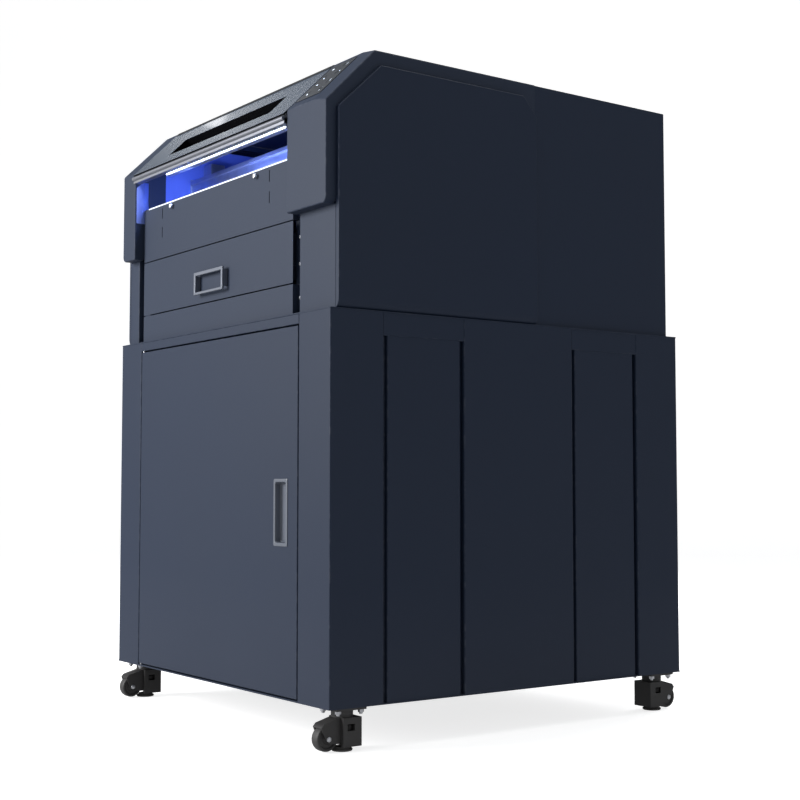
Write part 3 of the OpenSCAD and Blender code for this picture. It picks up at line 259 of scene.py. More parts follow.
drawn, given, put = surface_group(
    "drawn_metal",
    [
        ("Color", "NodeSocketColor", (0.6, 0.6, 0.6, 1.0)),
        ("Roughness", "NodeSocketFloat", 0.3),
        ("Stretch", "NodeSocketVector", (1.0, 1.0, 1.0)),
    ],
    [("Color", "NodeSocketColor"), ("Roughness", "NodeSocketFloat"), ("Height", "NodeSocketFloat")],
)
where = add_node(drawn, "ShaderNodeTexCoord").outputs["Object"]
along = add_node(
    drawn, "ShaderNodeVectorMath", {0: where, 1: given.outputs["Stretch"]}, operation="MULTIPLY"
).outputs[0]
lines = add_node(drawn, "ShaderNodeTexNoise", {"Vector": along, "Scale": 420.0, "Detail": 3.0}).outputs["Fac"]
stain = add_node(drawn, "ShaderNodeTexNoise", {"Vector": where, "Scale": 24.0, "Detail": 4.0}).outputs["Fac"]
darker = blend(drawn, 1.0, given.outputs["Color"], (0.7, 0.7, 0.72, 1.0), "MULTIPLY")
stained = add_node(
    drawn, "ShaderNodeMapRange", {"Value": stain, "From Min": 0.4, "From Max": 0.75}
).outputs["Result"]
colour = blend(drawn, number(drawn, "MULTIPLY", stained, 0.6), given.outputs["Color"], darker)
drawn.links.new(colour, put.inputs["Color"])
rough = number(drawn, "MULTIPLY_ADD", lines, 0.14, given.outputs["Roughness"])
rough = number(drawn, "MULTIPLY_ADD", stained, 0.12, rough)
drawn.links.new(rough, put.inputs["Roughness"])
drawn.links.new(lines, put.inputs["Height"])


def surfaced(name, group, values, metallic=0.0, bump=0.05, relief_m=0.0002, **shader_values):
    """Makes a material from one of the groups and a Principled BSDF."""
    material = bpy.data.materials.new(name)
    material.use_nodes = True
    tree = material.node_tree
    shader = tree.nodes["Principled BSDF"]
    grouped = add_node(tree, "ShaderNodeGroup", node_tree=group)
    for key, value in values.items():
        grouped.inputs[key].default_value = value
    relief = add_node(tree, "ShaderNodeBump", {"Height": grouped.outputs["Height"], "Strength": bump})
    relief.inputs["Distance"].default_value = relief_m
    tree.links.new(grouped.outputs["Color"], shader.inputs["Base Color"])
    tree.links.new(grouped.outputs["Roughness"], shader.inputs["Roughness"])
    tree.links.new(relief.outputs["Normal"], shader.inputs["Normal"])
    shader.inputs["Metallic"].default_value = metallic
    for key, value in shader_values.items():
        shader.inputs[key.replace("_", " ")].default_value = value
    return material


def coat(name, colour, bare=(0.16, 0.17, 0.20), rough=0.42, grain_scale=800.0, mottle=0.5, rub=0.12,
         dust=0.25, **more):
    """A coated, moulded or rubber finish."""
    values = {
        "Color": (*colour, 1.0), "Bare Color": (*bare, 1.0), "Roughness": rough,
        "Grain Scale": grain_scale, "Mottle": mottle, "Rub": rub, "Dust": dust,
    }
    return surfaced(name, coated, values, **more)


def metal(name, colour, rough=0.28, stretch=(1.0, 1.0, 1.0), **more):
    """A plated, ground or anodised metal."""
    values = {"Color": (*colour, 1.0), "Roughness": rough, "Stretch": stretch}
    return surfaced(name, drawn, values, metallic=1.0, bump=0.12, relief_m=0.0001, **more)


navy_front = coat(
    "navy_front", (0.019, 0.028, 0.051), rough=0.48, dust=0.08, bump=0.35, Specular_IOR_Level=0.24
)
navy_cabinet = coat(
    "navy_cabinet", (0.0115, 0.020, 0.042), rough=0.48, dust=0.08, bump=0.35, Specular_IOR_Level=0.26
)
frame_primer = coat("frame_primer", (0.018, 0.020, 0.024), rough=0.6, grain_scale=420.0)
black_steel = coat("black_steel", (0.010, 0.010, 0.012), rough=0.42, bare=(0.22, 0.22, 0.23))
black_cast = coat("black_cast", (0.004, 0.004, 0.005), rough=0.45, grain_scale=520.0, bump=0.4)
black_moulded = coat("black_moulded", (0.011, 0.011, 0.012), rough=0.5, grain_scale=1100.0, rub=0.15)
grey_moulded = coat("grey_moulded", (0.090, 0.102, 0.128), rough=0.32, grain_scale=1100.0)
silver_grey = coat("silver_grey", (0.17, 0.185, 0.22), rough=0.30, grain_scale=900.0, metallic=0.7)
rubber = coat("black_rubber", (0.010, 0.010, 0.010), rough=0.75, grain_scale=380.0, rub=0.1, dust=0.6)
# partly painted light: the bay's blue is its paint and also stands in for the blue light of the bay's lamps
bay_blue_and_lamp_light = coat("bay_blue_and_lamp_light", (0.15, 0.22, 0.60), rough=0.4, dust=0.0)
zinc = metal("zinc_plate", (0.56, 0.57, 0.60), rough=0.26)
anodised = metal("anodised", (0.58, 0.60, 0.64), rough=0.3, stretch=(0.04, 1.0, 1.0))
ground_bed = metal("ground_bed", (0.50, 0.52, 0.55), rough=0.34, stretch=(1.0, 0.05, 1.0))


def set_finish(node, material):
    """Gives a carried-over CAD part its finish."""
    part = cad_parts[node]
    if not part.material_slots:
        part.data.materials.append(material)
    for held in part.material_slots:
        held.material = material


# ---------------------------------------------------------------- corner posts
# Four posts of 1.5 mm sheet steel, folded round the cabinet's corners with one long bend each.
# Their inner edges are folded back to stiffen the door's opening and to close the grooves.

sheet = 0.0015


def finished(bm, name, body, slot, material, *stands_for, thickness=0.0, flat=False):
    """Turns a bmesh into a piece in place, gives it its sheet thickness and makes it ride."""
    mesh = plain_mesh(name, bm)
    for face in mesh.polygons:
        face.use_smooth = not flat
    mesh.set_sharp_from_angle(angle=math.radians(38))
    mesh.materials.append(material)
    made = bpy.data.objects.new(name, mesh)
    scene.collection.objects.link(made)
    if thickness:
        wall = made.modifiers.new("wall", "SOLIDIFY")
        wall.thickness = thickness
        wall.offset = -1.0
    if not flat:
        shade = made.modifiers.new("shade", "WEIGHTED_NORMAL")
        shade.keep_sharp = True
    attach(made, body)
    if stands_for:
        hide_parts(*stands_for)
    return made


def round_edges(bm, width, segments=3, sharper_than=25.0, only=None):
    """Rounds the sharp edges and marks the new faces, so that the finish can show rub marks there."""
    mark = bm.faces.layers.float.get("edge") or bm.faces.layers.float.new("edge")
    limit = math.radians(sharper_than)
    bm.normal_update()
    sharp = [
        e for e in bm.edges
        if len(e.link_faces) == 2 and e.calc_face_angle(0.0) > limit and (only is None or only(e))
    ]
    if sharp:
        made = bmesh.ops.bevel(
            bm, geom=sharp, offset=width, segments=segments, profile=0.5, affect="EDGES", clamp_overlap=True
        )
        for face in made["faces"]:
            face[mark] = 1.0
    return bm


def upright_fold(points, z0, z1, radius=0.003):
    """A sheet that stands upright and is folded along a line of (x, y) points."""
    bm = bmesh.new()
    columns = [(bm.verts.new((x, y, z0)), bm.verts.new((x, y, z1))) for x, y in points]
    for (a, b), (c, d) in zip(columns, columns[1:]):
        bm.faces.new((a, c, d, b))
    return round_edges(bm, radius)


def face_outward(bm, outward, among=lambda face: True):
    """Turns a skin's faces to the outside, judged by its largest face and the way that one looks."""
    bmesh.ops.recalc_face_normals(bm, faces=bm.faces)
    bm.normal_update()
    broad = max((f for f in bm.faces if among(f)), key=lambda f: f.calc_area())
    if broad.normal.dot(Vector(outward)) < 0:
        bmesh.ops.reverse_faces(bm, faces=bm.faces)


def join(parts):
    """Puts several bmeshes together in the first."""
    first = parts[0]
    for other in parts[1:]:
        kept = plain_mesh("joining", other)
        first.from_mesh(kept)
        bpy.data.meshes.remove(kept)
    return first


cab_low, cab_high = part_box("corner_posts")
door_low, door_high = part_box("cabinet_door")
panel_low, panel_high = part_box("side_centre_panels")
inset_low, inset_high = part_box("side_inset_panels")
head_low, head_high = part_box("door_header")
open_left, open_right = head_low.x, head_high.x
return_in = 0.012
door_fold = 0.018
rear_fold = 0.005
post_front_y = inset_low.y
post_rear_y = inset_high.y
posts = []
for side, inner_x in ((-1, open_left), (1, open_right)):
    outer_x = side * cab_high.x
    for face_y, end_y, fold in ((cab_low.y, post_front_y, door_fold), (cab_high.y, post_rear_y, -rear_fold)):
        corner = upright_fold(
            [
                (inner_x, face_y + fold), (inner_x, face_y), (outer_x, face_y), (outer_x, end_y),
                (outer_x - side * return_in, end_y),
            ],
            cab_low.z, cab_high.z,
        )
        face_outward(corner, (side, face_y, 0.0))
        posts.append(corner)
finished(
    join(posts), "corner_post_skins", "machine", "navy_paint", navy_cabinet, "corner_posts", thickness=sheet
)

# ---------------------------------------------------------------- side panels
# Between the posts each side has a raised middle panel and two panels set back by 2 mm.
# They are pressed from one liner sheet each, with 10 mm grooves beside them and a plain band on top.

groove = 0.010
band_drop = 0.048
step_in = 0.002
sides = []
for side in (-1, 1):
    outer_x = side * cab_high.x
    liner_x = outer_x - side * return_in
    raised_x = outer_x - side * step_in
    middle = upright_fold(
        [(liner_x, panel_low.y), (outer_x, panel_low.y), (outer_x, panel_high.y), (liner_x, panel_high.y)],
        cab_low.z, cab_high.z,
    )
    sides.append((middle, outer_x))
    for y0, y1 in ((inset_low.y, panel_low.y), (panel_high.y, inset_high.y)):
        pressed = upright_fold(
            [
                (liner_x, y0), (liner_x, y0 + groove), (raised_x, y0 + groove), (raised_x, y1 - groove),
                (liner_x, y1 - groove), (liner_x, y1),
            ],
            cab_low.z, cab_high.z - band_drop, 0.0025,
        )
        band = bmesh.new()
        band_x = outer_x - side * step_in / 2
        corners = [
            band.verts.new((x, y, z))
            for x, y, z in (
                (band_x, y0, cab_high.z), (band_x, y1, cab_high.z), (band_x, y1, cab_high.z - band_drop),
                (band_x, y0, cab_high.z - band_drop), (liner_x, y1, cab_high.z - band_drop),
                (liner_x, y0, cab_high.z - band_drop),
            )
        ]
        band.faces.new(corners[:4])
        band.faces.new((corners[3], corners[2], corners[4], corners[5]))
        round_edges(band, 0.0015)
        sides.append((pressed, outer_x))
        sides.append((band, outer_x))
for panel, outer_x in sides:
    face_outward(panel, (outer_x, 0.0, 0.0))
finished(
    join([panel for panel, outer_x in sides]), "side_panel_skins", "machine", "navy_paint", navy_cabinet,
    "side_centre_panels", "side_inset_panels", thickness=sheet,
)

# ---------------------------------------------------------------- base, lid, frame and shelf
# The cabinet's 3 mm base and lid plates are laser cut. The welded frame between them is square tube
# in dark primer. The shelf is a folded tray that rests on the frame's uprights.


def cad_shape(node):
    """A merged copy of a CAD part's mesh, with its flat faces whole again."""
    bm = bmesh.new()
    bm.from_mesh(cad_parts[node].data)
    bmesh.ops.remove_doubles(bm, verts=bm.verts, dist=1e-5)
    bmesh.ops.dissolve_limit(bm, angle_limit=math.radians(1.0), verts=bm.verts, edges=bm.edges)
    return bm


def eased(node, body, slot, material, width=0.0006, segments=2, sharper_than=32.0, name=""):
    """The CAD part with its sharp edges eased, as a deburred or moulded part has."""
    bm = round_edges(cad_shape(node), width, segments, sharper_than)
    return finished(bm, name or node + "_eased", body, slot, material, node)


for node in ("cabinet_base", "cabinet_deck"):
    eased(node, "machine", "navy_paint", navy_cabinet, 0.0008)
for node in ("cabinet_frame", "shelf"):
    eased(node, "machine", "frame_steel", frame_primer, 0.0006)

# ---------------------------------------------------------------- door
# A folded pan of sheet steel with a soft edge all round, hung on pivot pins at its left edge.
# The recessed pull is a moulded cup with a rolled rim, pushed into a hole in the door's face.


def front_pan(x0, x1, z0, z1, face_y, depth, holes=(), radius=0.0025):
    """A sheet in a front plane, folded back on four edges, with (x0, x1, z0, z1) holes cut in it."""
    bm = bmesh.new()
    xs = sorted({x0, x1, *(h[0] for h in holes), *(h[1] for h in holes)})
    zs = sorted({z0, z1, *(h[2] for h in holes), *(h[3] for h in holes)})
    grid = {(x, z): bm.verts.new((x, face_y, z)) for x in xs for z in zs}
    for xa, xb in zip(xs, xs[1:]):
        for za, zb in zip(zs, zs[1:]):
            mid_x, mid_z = (xa + xb) / 2, (za + zb) / 2
            if not any(h[0] < mid_x < h[1] and h[2] < mid_z < h[3] for h in holes):
                bm.faces.new((grid[xa, za], grid[xb, za], grid[xb, zb], grid[xa, zb]))
    loose = [v for v in bm.verts if not v.link_faces]
    bmesh.ops.delete(bm, geom=loose, context="VERTS")
    rim = [
        e for e in bm.edges
        if len(e.link_faces) == 1 and any(
            all(abs(v.co[axis] - limit) < 1e-7 for v in e.verts)
            for axis, limit in ((0, x0), (0, x1), (2, z0), (2, z1))
        )
    ]
    folded = bmesh.ops.extrude_edge_only(bm, edges=rim)
    for v in (g for g in folded["geom"] if isinstance(g, bmesh.types.BMVert)):
        v.co.y += depth
    bmesh.ops.dissolve_limit(bm, angle_limit=0.01, verts=bm.verts, edges=bm.edges)
    face_outward(bm, (0.0, -depth, 0.0))
    return round_edges(bm, radius)


pull_low, pull_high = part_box("door_pull")
tuck = 0.004
door_skin = front_pan(
    door_low.x, door_high.x, door_low.z, door_high.z, door_low.y, door_high.y - door_low.y,
    [(pull_low.x + tuck, pull_high.x - tuck, pull_low.z + tuck, pull_high.z - tuck)],
)
finished(door_skin, "door_skin", "door", "navy_paint", navy_cabinet, "cabinet_door", thickness=sheet)

for label, block_z in (("foot", door_low.z), ("head", door_high.z - 0.020)):
    block = bmesh.new()
    bmesh.ops.create_cube(block, size=1.0)
    for v in block.verts:
        v.co = Vector((
            door_low.x + 0.0085 + v.co.x * 0.012, door_low.y + 0.0072 + v.co.y * 0.010,
            block_z + 0.010 + v.co.z * 0.018,
        ))
    round_edges(block, 0.001)
    finished(block, "pivot_block_" + label, "door", "frame_steel", black_steel)


def rounded_loop(bm, centre, width, height, radius, y, steps=6):
    """A ring of vertices round a rounded rectangle that faces the front."""
    ring = []
    radius = min(radius, width / 2 - 1e-5, height / 2 - 1e-5)
    for sx, sz, start in ((1, 1, 0), (-1, 1, 90), (-1, -1, 180), (1, -1, 270)):
        for k in range(steps + 1):
            a = math.radians(start + 90 * k / steps)
            ring.append(bm.verts.new((
                centre[0] + sx * (width / 2 - radius) + radius * math.cos(a), y,
                centre[1] + sz * (height / 2 - radius) + radius * math.sin(a),
            )))
    return ring


def loft(bm, loops, close_end=True):
    """Skins a row of rings with faces."""
    for a, b in zip(loops, loops[1:]):
        count = len(a)
        for k in range(count):
            bm.faces.new((a[k], a[(k + 1) % count], b[(k + 1) % count], b[k]))
    if close_end:
        bm.faces.new(loops[-1])
    return bm


pull = bmesh.new()
pull_mid = ((pull_low.x + pull_high.x) / 2, (pull_low.z + pull_high.z) / 2)
pull_w, pull_h = pull_high.x - pull_low.x, pull_high.z - pull_low.z
cup = (
    (0.0000, 0.004, door_low.y + 0.0002), (0.0000, 0.004, pull_low.y + 0.0010), (0.0012, 0.004, pull_low.y),
    (0.0060, 0.004, pull_low.y), (0.0072, 0.004, pull_low.y + 0.0010), (0.0080, 0.005, pull_low.y + 0.0040),
    (0.0086, 0.005, pull_high.y - 0.0050), (0.0115, 0.006, pull_high.y - 0.0020),
)
loft(pull, [rounded_loop(pull, pull_mid, pull_w - 2 * i, pull_h - 2 * i, r, y) for i, r, y in cup])
bmesh.ops.recalc_face_normals(pull, faces=pull.faces)
pull.normal_update()
floor = max(pull.faces, key=lambda f: f.calc_center_median().y)
if floor.normal.y > 0:
    bmesh.ops.reverse_faces(pull, faces=pull.faces)
finished(pull, "door_pull_cup", "door", "grey_plastic", grey_moulded, "door_pull", thickness=0.0014)

set_finish("door_pivots", zinc)
eased("door_latch", "machine", "frame_steel", black_moulded, 0.0008)
header = front_pan(
    head_low.x, head_high.x, head_low.z, head_high.z, head_low.y, head_high.y - head_low.y, (), 0.0015
)
finished(header, "door_header_fold", "machine", "navy_paint", navy_cabinet, "door_header", thickness=sheet)

# ---------------------------------------------------------------- casters
# Leveling casters: a bolted plate, a cast housing that swivels under it, a nylon wheel on an axle,
# and a rubber foot on a stud under the ribbed adjuster dial.

corners = ("fl", "fr", "rl", "rr")
eased("caster_plates", "machine", "black_steel", black_steel, 0.0012)


def turned(profile, centre, axis="Z", steps=48):
    """Spins (radius, height) points round an axis through a centre into a closed shape."""
    bm = bmesh.new()
    rings = []
    for r, h in profile:
        if r < 1e-6:
            rings.append([bm.verts.new((0, 0, h))])
        else:
            turns = [math.tau * k / steps for k in range(steps)]
            rings.append([bm.verts.new((r * math.cos(a), r * math.sin(a), h)) for a in turns])
    for a, b in zip(rings, rings[1:]):
        for k in range(steps):
            n = (k + 1) % steps
            if len(a) == 1:
                bm.faces.new((a[0], b[k], b[n]))
            elif len(b) == 1:
                bm.faces.new((a[k], b[0], a[n]))
            else:
                bm.faces.new((a[k], b[k], b[n], a[n]))
    spin = Matrix.Rotation(math.pi / 2, 4, "Y") if axis == "X" else Matrix()
    bmesh.ops.transform(bm, matrix=Matrix.Translation(centre) @ spin, verts=bm.verts)
    bmesh.ops.recalc_face_normals(bm, faces=bm.faces)
    return bm


def block(low, high, width=0.001, segments=3):
    """A solid bar between two corners with rounded edges."""
    bm = bmesh.new()
    bmesh.ops.create_cube(bm, size=1.0)
    low, high = Vector(low), Vector(high)
    for v in bm.verts:
        v.co = Vector([low[i] + (v.co[i] + 0.5) * (high[i] - low[i]) for i in range(3)])
    return round_edges(bm, width, segments)


# One hexagon-headed fastener, in its own place at the origin, for the trees that scatter it.
hex_nut = bmesh.new()
nut_loops = []
for r, h in ((0.0058, 0.0), (0.0064, 0.0006), (0.0064, 0.0060), (0.0056, 0.0068)):
    nut_loops.append([
        hex_nut.verts.new((r * math.cos(math.radians(60 * k)), r * math.sin(math.radians(60 * k)), h))
        for k in range(6)
    ])
hex_nut.faces.new(list(reversed(nut_loops[0])))
loft(hex_nut, nut_loops)
hex_nut.faces.ensure_lookup_table()
stub = turned(
    [(0.0, 0.0068), (0.0036, 0.0068), (0.0036, 0.0095), (0.0030, 0.0102), (0.0, 0.0102)], (0, 0, 0), steps=16
)
washer = turned(
    [(0.0, -0.0012), (0.0080, -0.0012), (0.0083, -0.0009), (0.0083, 0.0), (0.0, 0.0)], (0, 0, 0), steps=24
)
hex_nut = join([hex_nut, stub, washer])
bmesh.ops.recalc_face_normals(hex_nut, faces=hex_nut.faces)
nut_mesh = plain_mesh("hex_nut", hex_nut)

# One pan-headed screw with a hexagon socket.
screw = turned(
    [
        (0.0, 0.0012), (0.0013, 0.0012), (0.0014, 0.0026), (0.0030, 0.0026), (0.0043, 0.0019),
        (0.0050, 0.0004), (0.0050, 0.0),
    ],
    (0, 0, 0), steps=18,
)
screw_mesh = plain_mesh("pan_screw", screw)


def scatter(name, shape, points, facing, body, material, scale=1.0, turn=0.0):
    """Sets a fastener on every point with a Geometry Nodes tree and makes one plain mesh of them."""
    carrier_mesh = bpy.data.meshes.new(name + "_points")
    carrier_mesh.from_pydata([tuple(p) for p in points], [], [])
    carrier = bpy.data.objects.new(name + "_points", carrier_mesh)
    scene.collection.objects.link(carrier)
    model = bpy.data.objects.new(name + "_model", shape)
    scene.collection.objects.link(model)

    tree = bpy.data.node_groups.new(name + "_rows", "GeometryNodeTree")
    for label, kind in (
        ("Geometry", "Geometry"), ("Facing", "Vector"), ("Size", "Float"), ("Turn", "Float"), ("Seed", "Int")
    ):
        tree.interface.new_socket(label, in_out="INPUT", socket_type="NodeSocket" + kind)
    tree.interface.new_socket("Geometry", in_out="OUTPUT", socket_type="NodeSocketGeometry")
    given = tree.nodes.new("NodeGroupInput")
    put = tree.nodes.new("NodeGroupOutput")
    source = add_node(tree, "GeometryNodeObjectInfo")
    source.inputs["Object"].default_value = model
    chance = add_node(tree, "FunctionNodeRandomValue", {"Seed": given.outputs["Seed"]}, data_type="FLOAT")
    chance.inputs[2].default_value = 0.0
    chance.inputs[3].default_value = math.tau
    swing = number(tree, "MULTIPLY", chance.outputs[1], given.outputs["Turn"])
    roll = add_node(tree, "ShaderNodeCombineXYZ", {"Z": swing})
    aim = add_node(tree, "FunctionNodeAlignEulerToVector", {"Vector": given.outputs["Facing"]}, axis="Z")
    first = add_node(
        tree, "FunctionNodeRotateEuler", {"Rotation": aim.outputs[0], "Rotate By": roll.outputs[0]},
        space="LOCAL",
    )
    grown = add_node(tree, "ShaderNodeCombineXYZ", {
        "X": given.outputs["Size"], "Y": given.outputs["Size"], "Z": given.outputs["Size"],
    })
    set_out = add_node(tree, "GeometryNodeInstanceOnPoints", {
        "Points": given.outputs["Geometry"], "Instance": source.outputs["Geometry"],
        "Rotation": first.outputs[0], "Scale": grown.outputs[0],
    })
    real = add_node(tree, "GeometryNodeRealizeInstances", {"Geometry": set_out.outputs[0]})
    painted = add_node(tree, "GeometryNodeSetMaterial", {"Geometry": real.outputs[0], "Material": material})
    tree.links.new(painted.outputs[0], put.inputs["Geometry"])

    rows = carrier.modifiers.new("rows", "NODES")
    rows.node_group = tree
    sockets = {s.name: s.identifier for s in tree.interface.items_tree if s.in_out == "INPUT"}
    rows[sockets["Facing"]] = tuple(float(v) for v in facing)
    rows[sockets["Size"]] = float(scale)
    rows[sockets["Turn"]] = float(turn)
    rows[sockets["Seed"]] = 7
    carrier.update_tag()
    view = bpy.context.evaluated_depsgraph_get()
    view.update()
    mesh = bpy.data.meshes.new_from_object(carrier.evaluated_get(view))
    for face in mesh.polygons:
        face.use_smooth = True
    mesh.set_sharp_from_angle(angle=math.radians(35))
    if not mesh.materials:
        mesh.materials.append(material)
    carrier.modifiers.clear()
    bpy.data.objects.remove(carrier)
    bpy.data.objects.remove(model)
    made = bpy.data.objects.new(name, mesh)
    scene.collection.objects.link(made)
    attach(made, body)
    return made


plate_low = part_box("caster_plates")[0]
bolt_pitch = 0.056
plate_z, plate_t = 0.024, 0.005
nut_z = 0.008
tyre_bore_r = 0.0050
dial_r, dial_z, dial_ribs = 0.0205, 0.0485, 44
swivels = {}
for tag in corners:
    foot_low, foot_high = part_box("foot_" + tag)
    swivels[tag] = (foot_low + foot_high) / 2
under_plate = plate_low.z + plate_z - plate_t
nut_points = [
    (swivels[tag].x + sx * bolt_pitch / 2, swivels[tag].y + sy * bolt_pitch / 2, under_plate - 0.0002)
    for tag in corners for sx in (-1, 1) for sy in (-1, 1)
]
nuts = scatter("caster_nuts_under", nut_mesh, nut_points, (0, 0, -1), "machine", zinc, 1.0, 1.0)
top_points = [(x, y, under_plate + nut_z) for x, y, z in nut_points]
scatter("caster_nuts_over", nut_mesh, top_points, (0, 0, 1), "machine", zinc, 0.8, 1.0)
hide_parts("caster_bolts")

for tag in corners:
    axis = swivels[tag]
    behind = -1 if tag[0] == "f" else 1
    wheel_low, wheel_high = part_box("wheel_" + tag)
    hub = (wheel_low + wheel_high) / 2
    wheel_r = (wheel_high.z - wheel_low.z) / 2
    half = (wheel_high.x - wheel_low.x) / 2
    flank = [
        (wheel_r * 0.34, 0.0), (wheel_r * 0.38, 0.0012), (wheel_r * 0.44, 0.0040), (wheel_r * 0.70, 0.0040),
        (wheel_r * 0.76, 0.0012), (wheel_r * 0.80, 0.0004), (wheel_r - 0.0040, 0.0004),
        (wheel_r - 0.0014, 0.0016), (wheel_r - 0.0003, 0.0042), (wheel_r, 0.0075),
    ]
    near = [(r, -half + inward) for r, inward in flank]
    far = [(r, half - inward) for r, inward in reversed(flank)]
    bore = [(tyre_bore_r, half), (tyre_bore_r, -half)]
    tyre = turned([bore[1], *near, *far, *bore], hub, "X", 64)
    finished(tyre, "tyre_" + tag, "roller_" + tag, "black_plastic", black_moulded, "wheel_" + tag)

    eased(
        "housing_" + tag, "caster_" + tag, "caster_body", black_cast, 0.0009, 2, 40, "housing_cast_" + tag
    )
    caps = []
    for side in (-1, 1):
        cap_x = hub.x + side * (half + 0.0043)
        outline = [(0.0, 0.0020), (0.0046, 0.0020), (0.0058, 0.0012), (0.0062, 0.0), (0.0062, -0.0008)]
        cap = turned(outline, (0, 0, 0), "Z", 6)
        tip = Matrix.Rotation(side * math.pi / 2, 4, "Y")
        bmesh.ops.transform(cap, matrix=Matrix.Translation((cap_x, hub.y, hub.z)) @ tip, verts=cap.verts)
        caps.append(cap)
    finished(join(caps), "axle_nuts_" + tag, "caster_" + tag, "zinc_steel", zinc, flat=True)

    # grip ribs round the adjuster dial, where it shows in the housing's side windows
    rib_points = []
    for k in range(dial_ribs):
        turn = math.tau * k / dial_ribs
        spot = Vector((math.cos(turn), math.sin(turn), 0.0)) * dial_r
        if -0.003 < spot.y * -behind < 0.013:
            rib_points.append(axis + spot - Vector((0, 0, axis.z - dial_z)))
    rib_mesh = plain_mesh("dial_rib", block((-0.0007, -0.0007, -0.0040), (0.0007, 0.0007, 0.0040), 0.0003, 1))
    scatter("dial_ribs_" + tag, rib_mesh, rib_points, (0, 0, 1), "caster_" + tag, black_cast)

    foot_low, foot_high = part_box("foot_" + tag)
    pad_r = (foot_high.x - foot_low.x) / 2
    pad = turned(
        [
            (0.0, 0.0), (pad_r - 0.0060, 0.0), (pad_r - 0.0055, 0.0007), (pad_r - 0.0045, 0.0007),
            (pad_r - 0.0040, 0.0), (pad_r - 0.0014, 0.0), (pad_r - 0.0004, 0.0008), (pad_r, 0.0040),
            (pad_r - 0.0012, 0.0050), (pad_r - 0.0040, 0.0052), (pad_r - 0.0046, 0.0086),
            (pad_r - 0.0060, 0.0090), (0.0062, 0.0090), (0.0058, 0.0094), (0.0058, foot_high.z - 0.0006),
            (0.0052, foot_high.z), (0.0, foot_high.z),
        ],
        (axis.x, axis.y, 0.0), "Z", 48,
    )
    finished(pad, "foot_pad_" + tag, "leveler_" + tag, "foot_rubber", rubber, "foot_" + tag)

# ---------------------------------------------------------------- pods and channels
# The upper body's front corners are folded pods. An upright channel beside each shows the liner
# sheet behind it, with its fixing screws.

channel_w = 0.038
for side, node, name in ((-1, "left_pod", "left_pod_fold"), (1, "right_pod", "right_pod_fold")):
    low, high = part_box(node)
    outer_x, far_x = (low.x, high.x) if side < 0 else (high.x, low.x)
    inner_x = far_x + side * channel_w
    liner_y = high.y - sheet
    skin = upright_fold([(outer_x, low.y), (inner_x, low.y), (inner_x, liner_y)], low.z, high.z, 0.0025)
    face_outward(skin, (0.0, -1.0, 0.0))
    left_x, right_x = sorted((far_x, inner_x))
    liner = block((left_x - 0.001, liner_y, low.z), (right_x + 0.001, high.y, high.z), 0.0003, 1)
    finished(skin, name, "machine", "navy_paint", navy_front, node, thickness=sheet)
    finished(liner, name + "_liner", "machine", "navy_paint", navy_front)
    middle = (inner_x + far_x) / 2 + side * -0.002
    screw_points = [(middle, liner_y, low.z + share * (high.z - low.z)) for share in (0.18, 0.52, 0.79)]
    scatter(name + "_screws", screw_mesh, screw_points, (0, -1, 0), "machine", zinc, 0.9, 1.0)

# ---------------------------------------------------------------- side covers
# Raised covers on each side: 1.5 mm sheet with cut upper corners, a folded rim and a rolled lower
# edge.

front_cut_d, front_cut_h = 0.107, 0.102
rear_cut_d, rear_cut_h = 0.038, 0.045
roll_h, roll_steps = 0.022, 8
for side, node in ((-1, "left_side_cover"), (1, "right_side_cover")):
    low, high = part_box(node)
    outer = high.x if side > 0 else low.x
    inner = low.x if side > 0 else high.x
    outline = [
        (low.y, high.z - front_cut_h), (low.y + front_cut_d, high.z),
        (high.y - rear_cut_d, high.z), (high.y, high.z - rear_cut_h),
    ]
    cover = bmesh.new()
    face_ring = [cover.verts.new((outer, y, z)) for y, z in outline]
    rim_ring = [cover.verts.new((inner, y, z)) for y, z in outline]
    rolls = []
    for k in range(roll_steps + 1):
        a = math.radians(90 * (1 - k / roll_steps))
        x = inner + (outer - inner) * math.sin(a)
        z = low.z + roll_h * (1 - math.cos(a))
        rolls.append((cover.verts.new((x, low.y, z)), cover.verts.new((x, high.y, z))))
    cover.faces.new([*face_ring, rolls[0][1], rolls[0][0]])
    for a, b, c, d in zip(face_ring, face_ring[1:], rim_ring[1:], rim_ring):
        cover.faces.new((a, b, c, d))
    for (a, b), (c, d) in zip(rolls, rolls[1:]):
        cover.faces.new((a, b, d, c))
    cover.faces.new([face_ring[0], *[r[0] for r in rolls], rim_ring[0]])
    cover.faces.new([face_ring[-1], *[r[1] for r in rolls], rim_ring[-1]])
    face_outward(cover, (side, 0.0, 0.0))
    round_edges(cover, 0.0025, 3, 28)
    finished(cover, node + "_skin", "machine", "navy_paint", navy_cabinet, node, thickness=sheet)

# ---------------------------------------------------------------- caps
# Two folded caps close the upper body's ends. Their slanted faces carry on the hood's line, the
# lower outer corners are rounded, and the right cap has a bevel along its outer edge.

hood_low, hood_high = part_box("hood_panel")
pod_face_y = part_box("left_pod")[0].y
deck_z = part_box("cabinet_deck")[1].z
slant_foot_z = deck_z + 0.442
cap_low_z = deck_z + 0.217
ridge_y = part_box("left_cap")[0].y + 0.123
inner_wall_y = pod_face_y + 0.062
cap_corner_r, cap_corner_steps = 0.014, 6


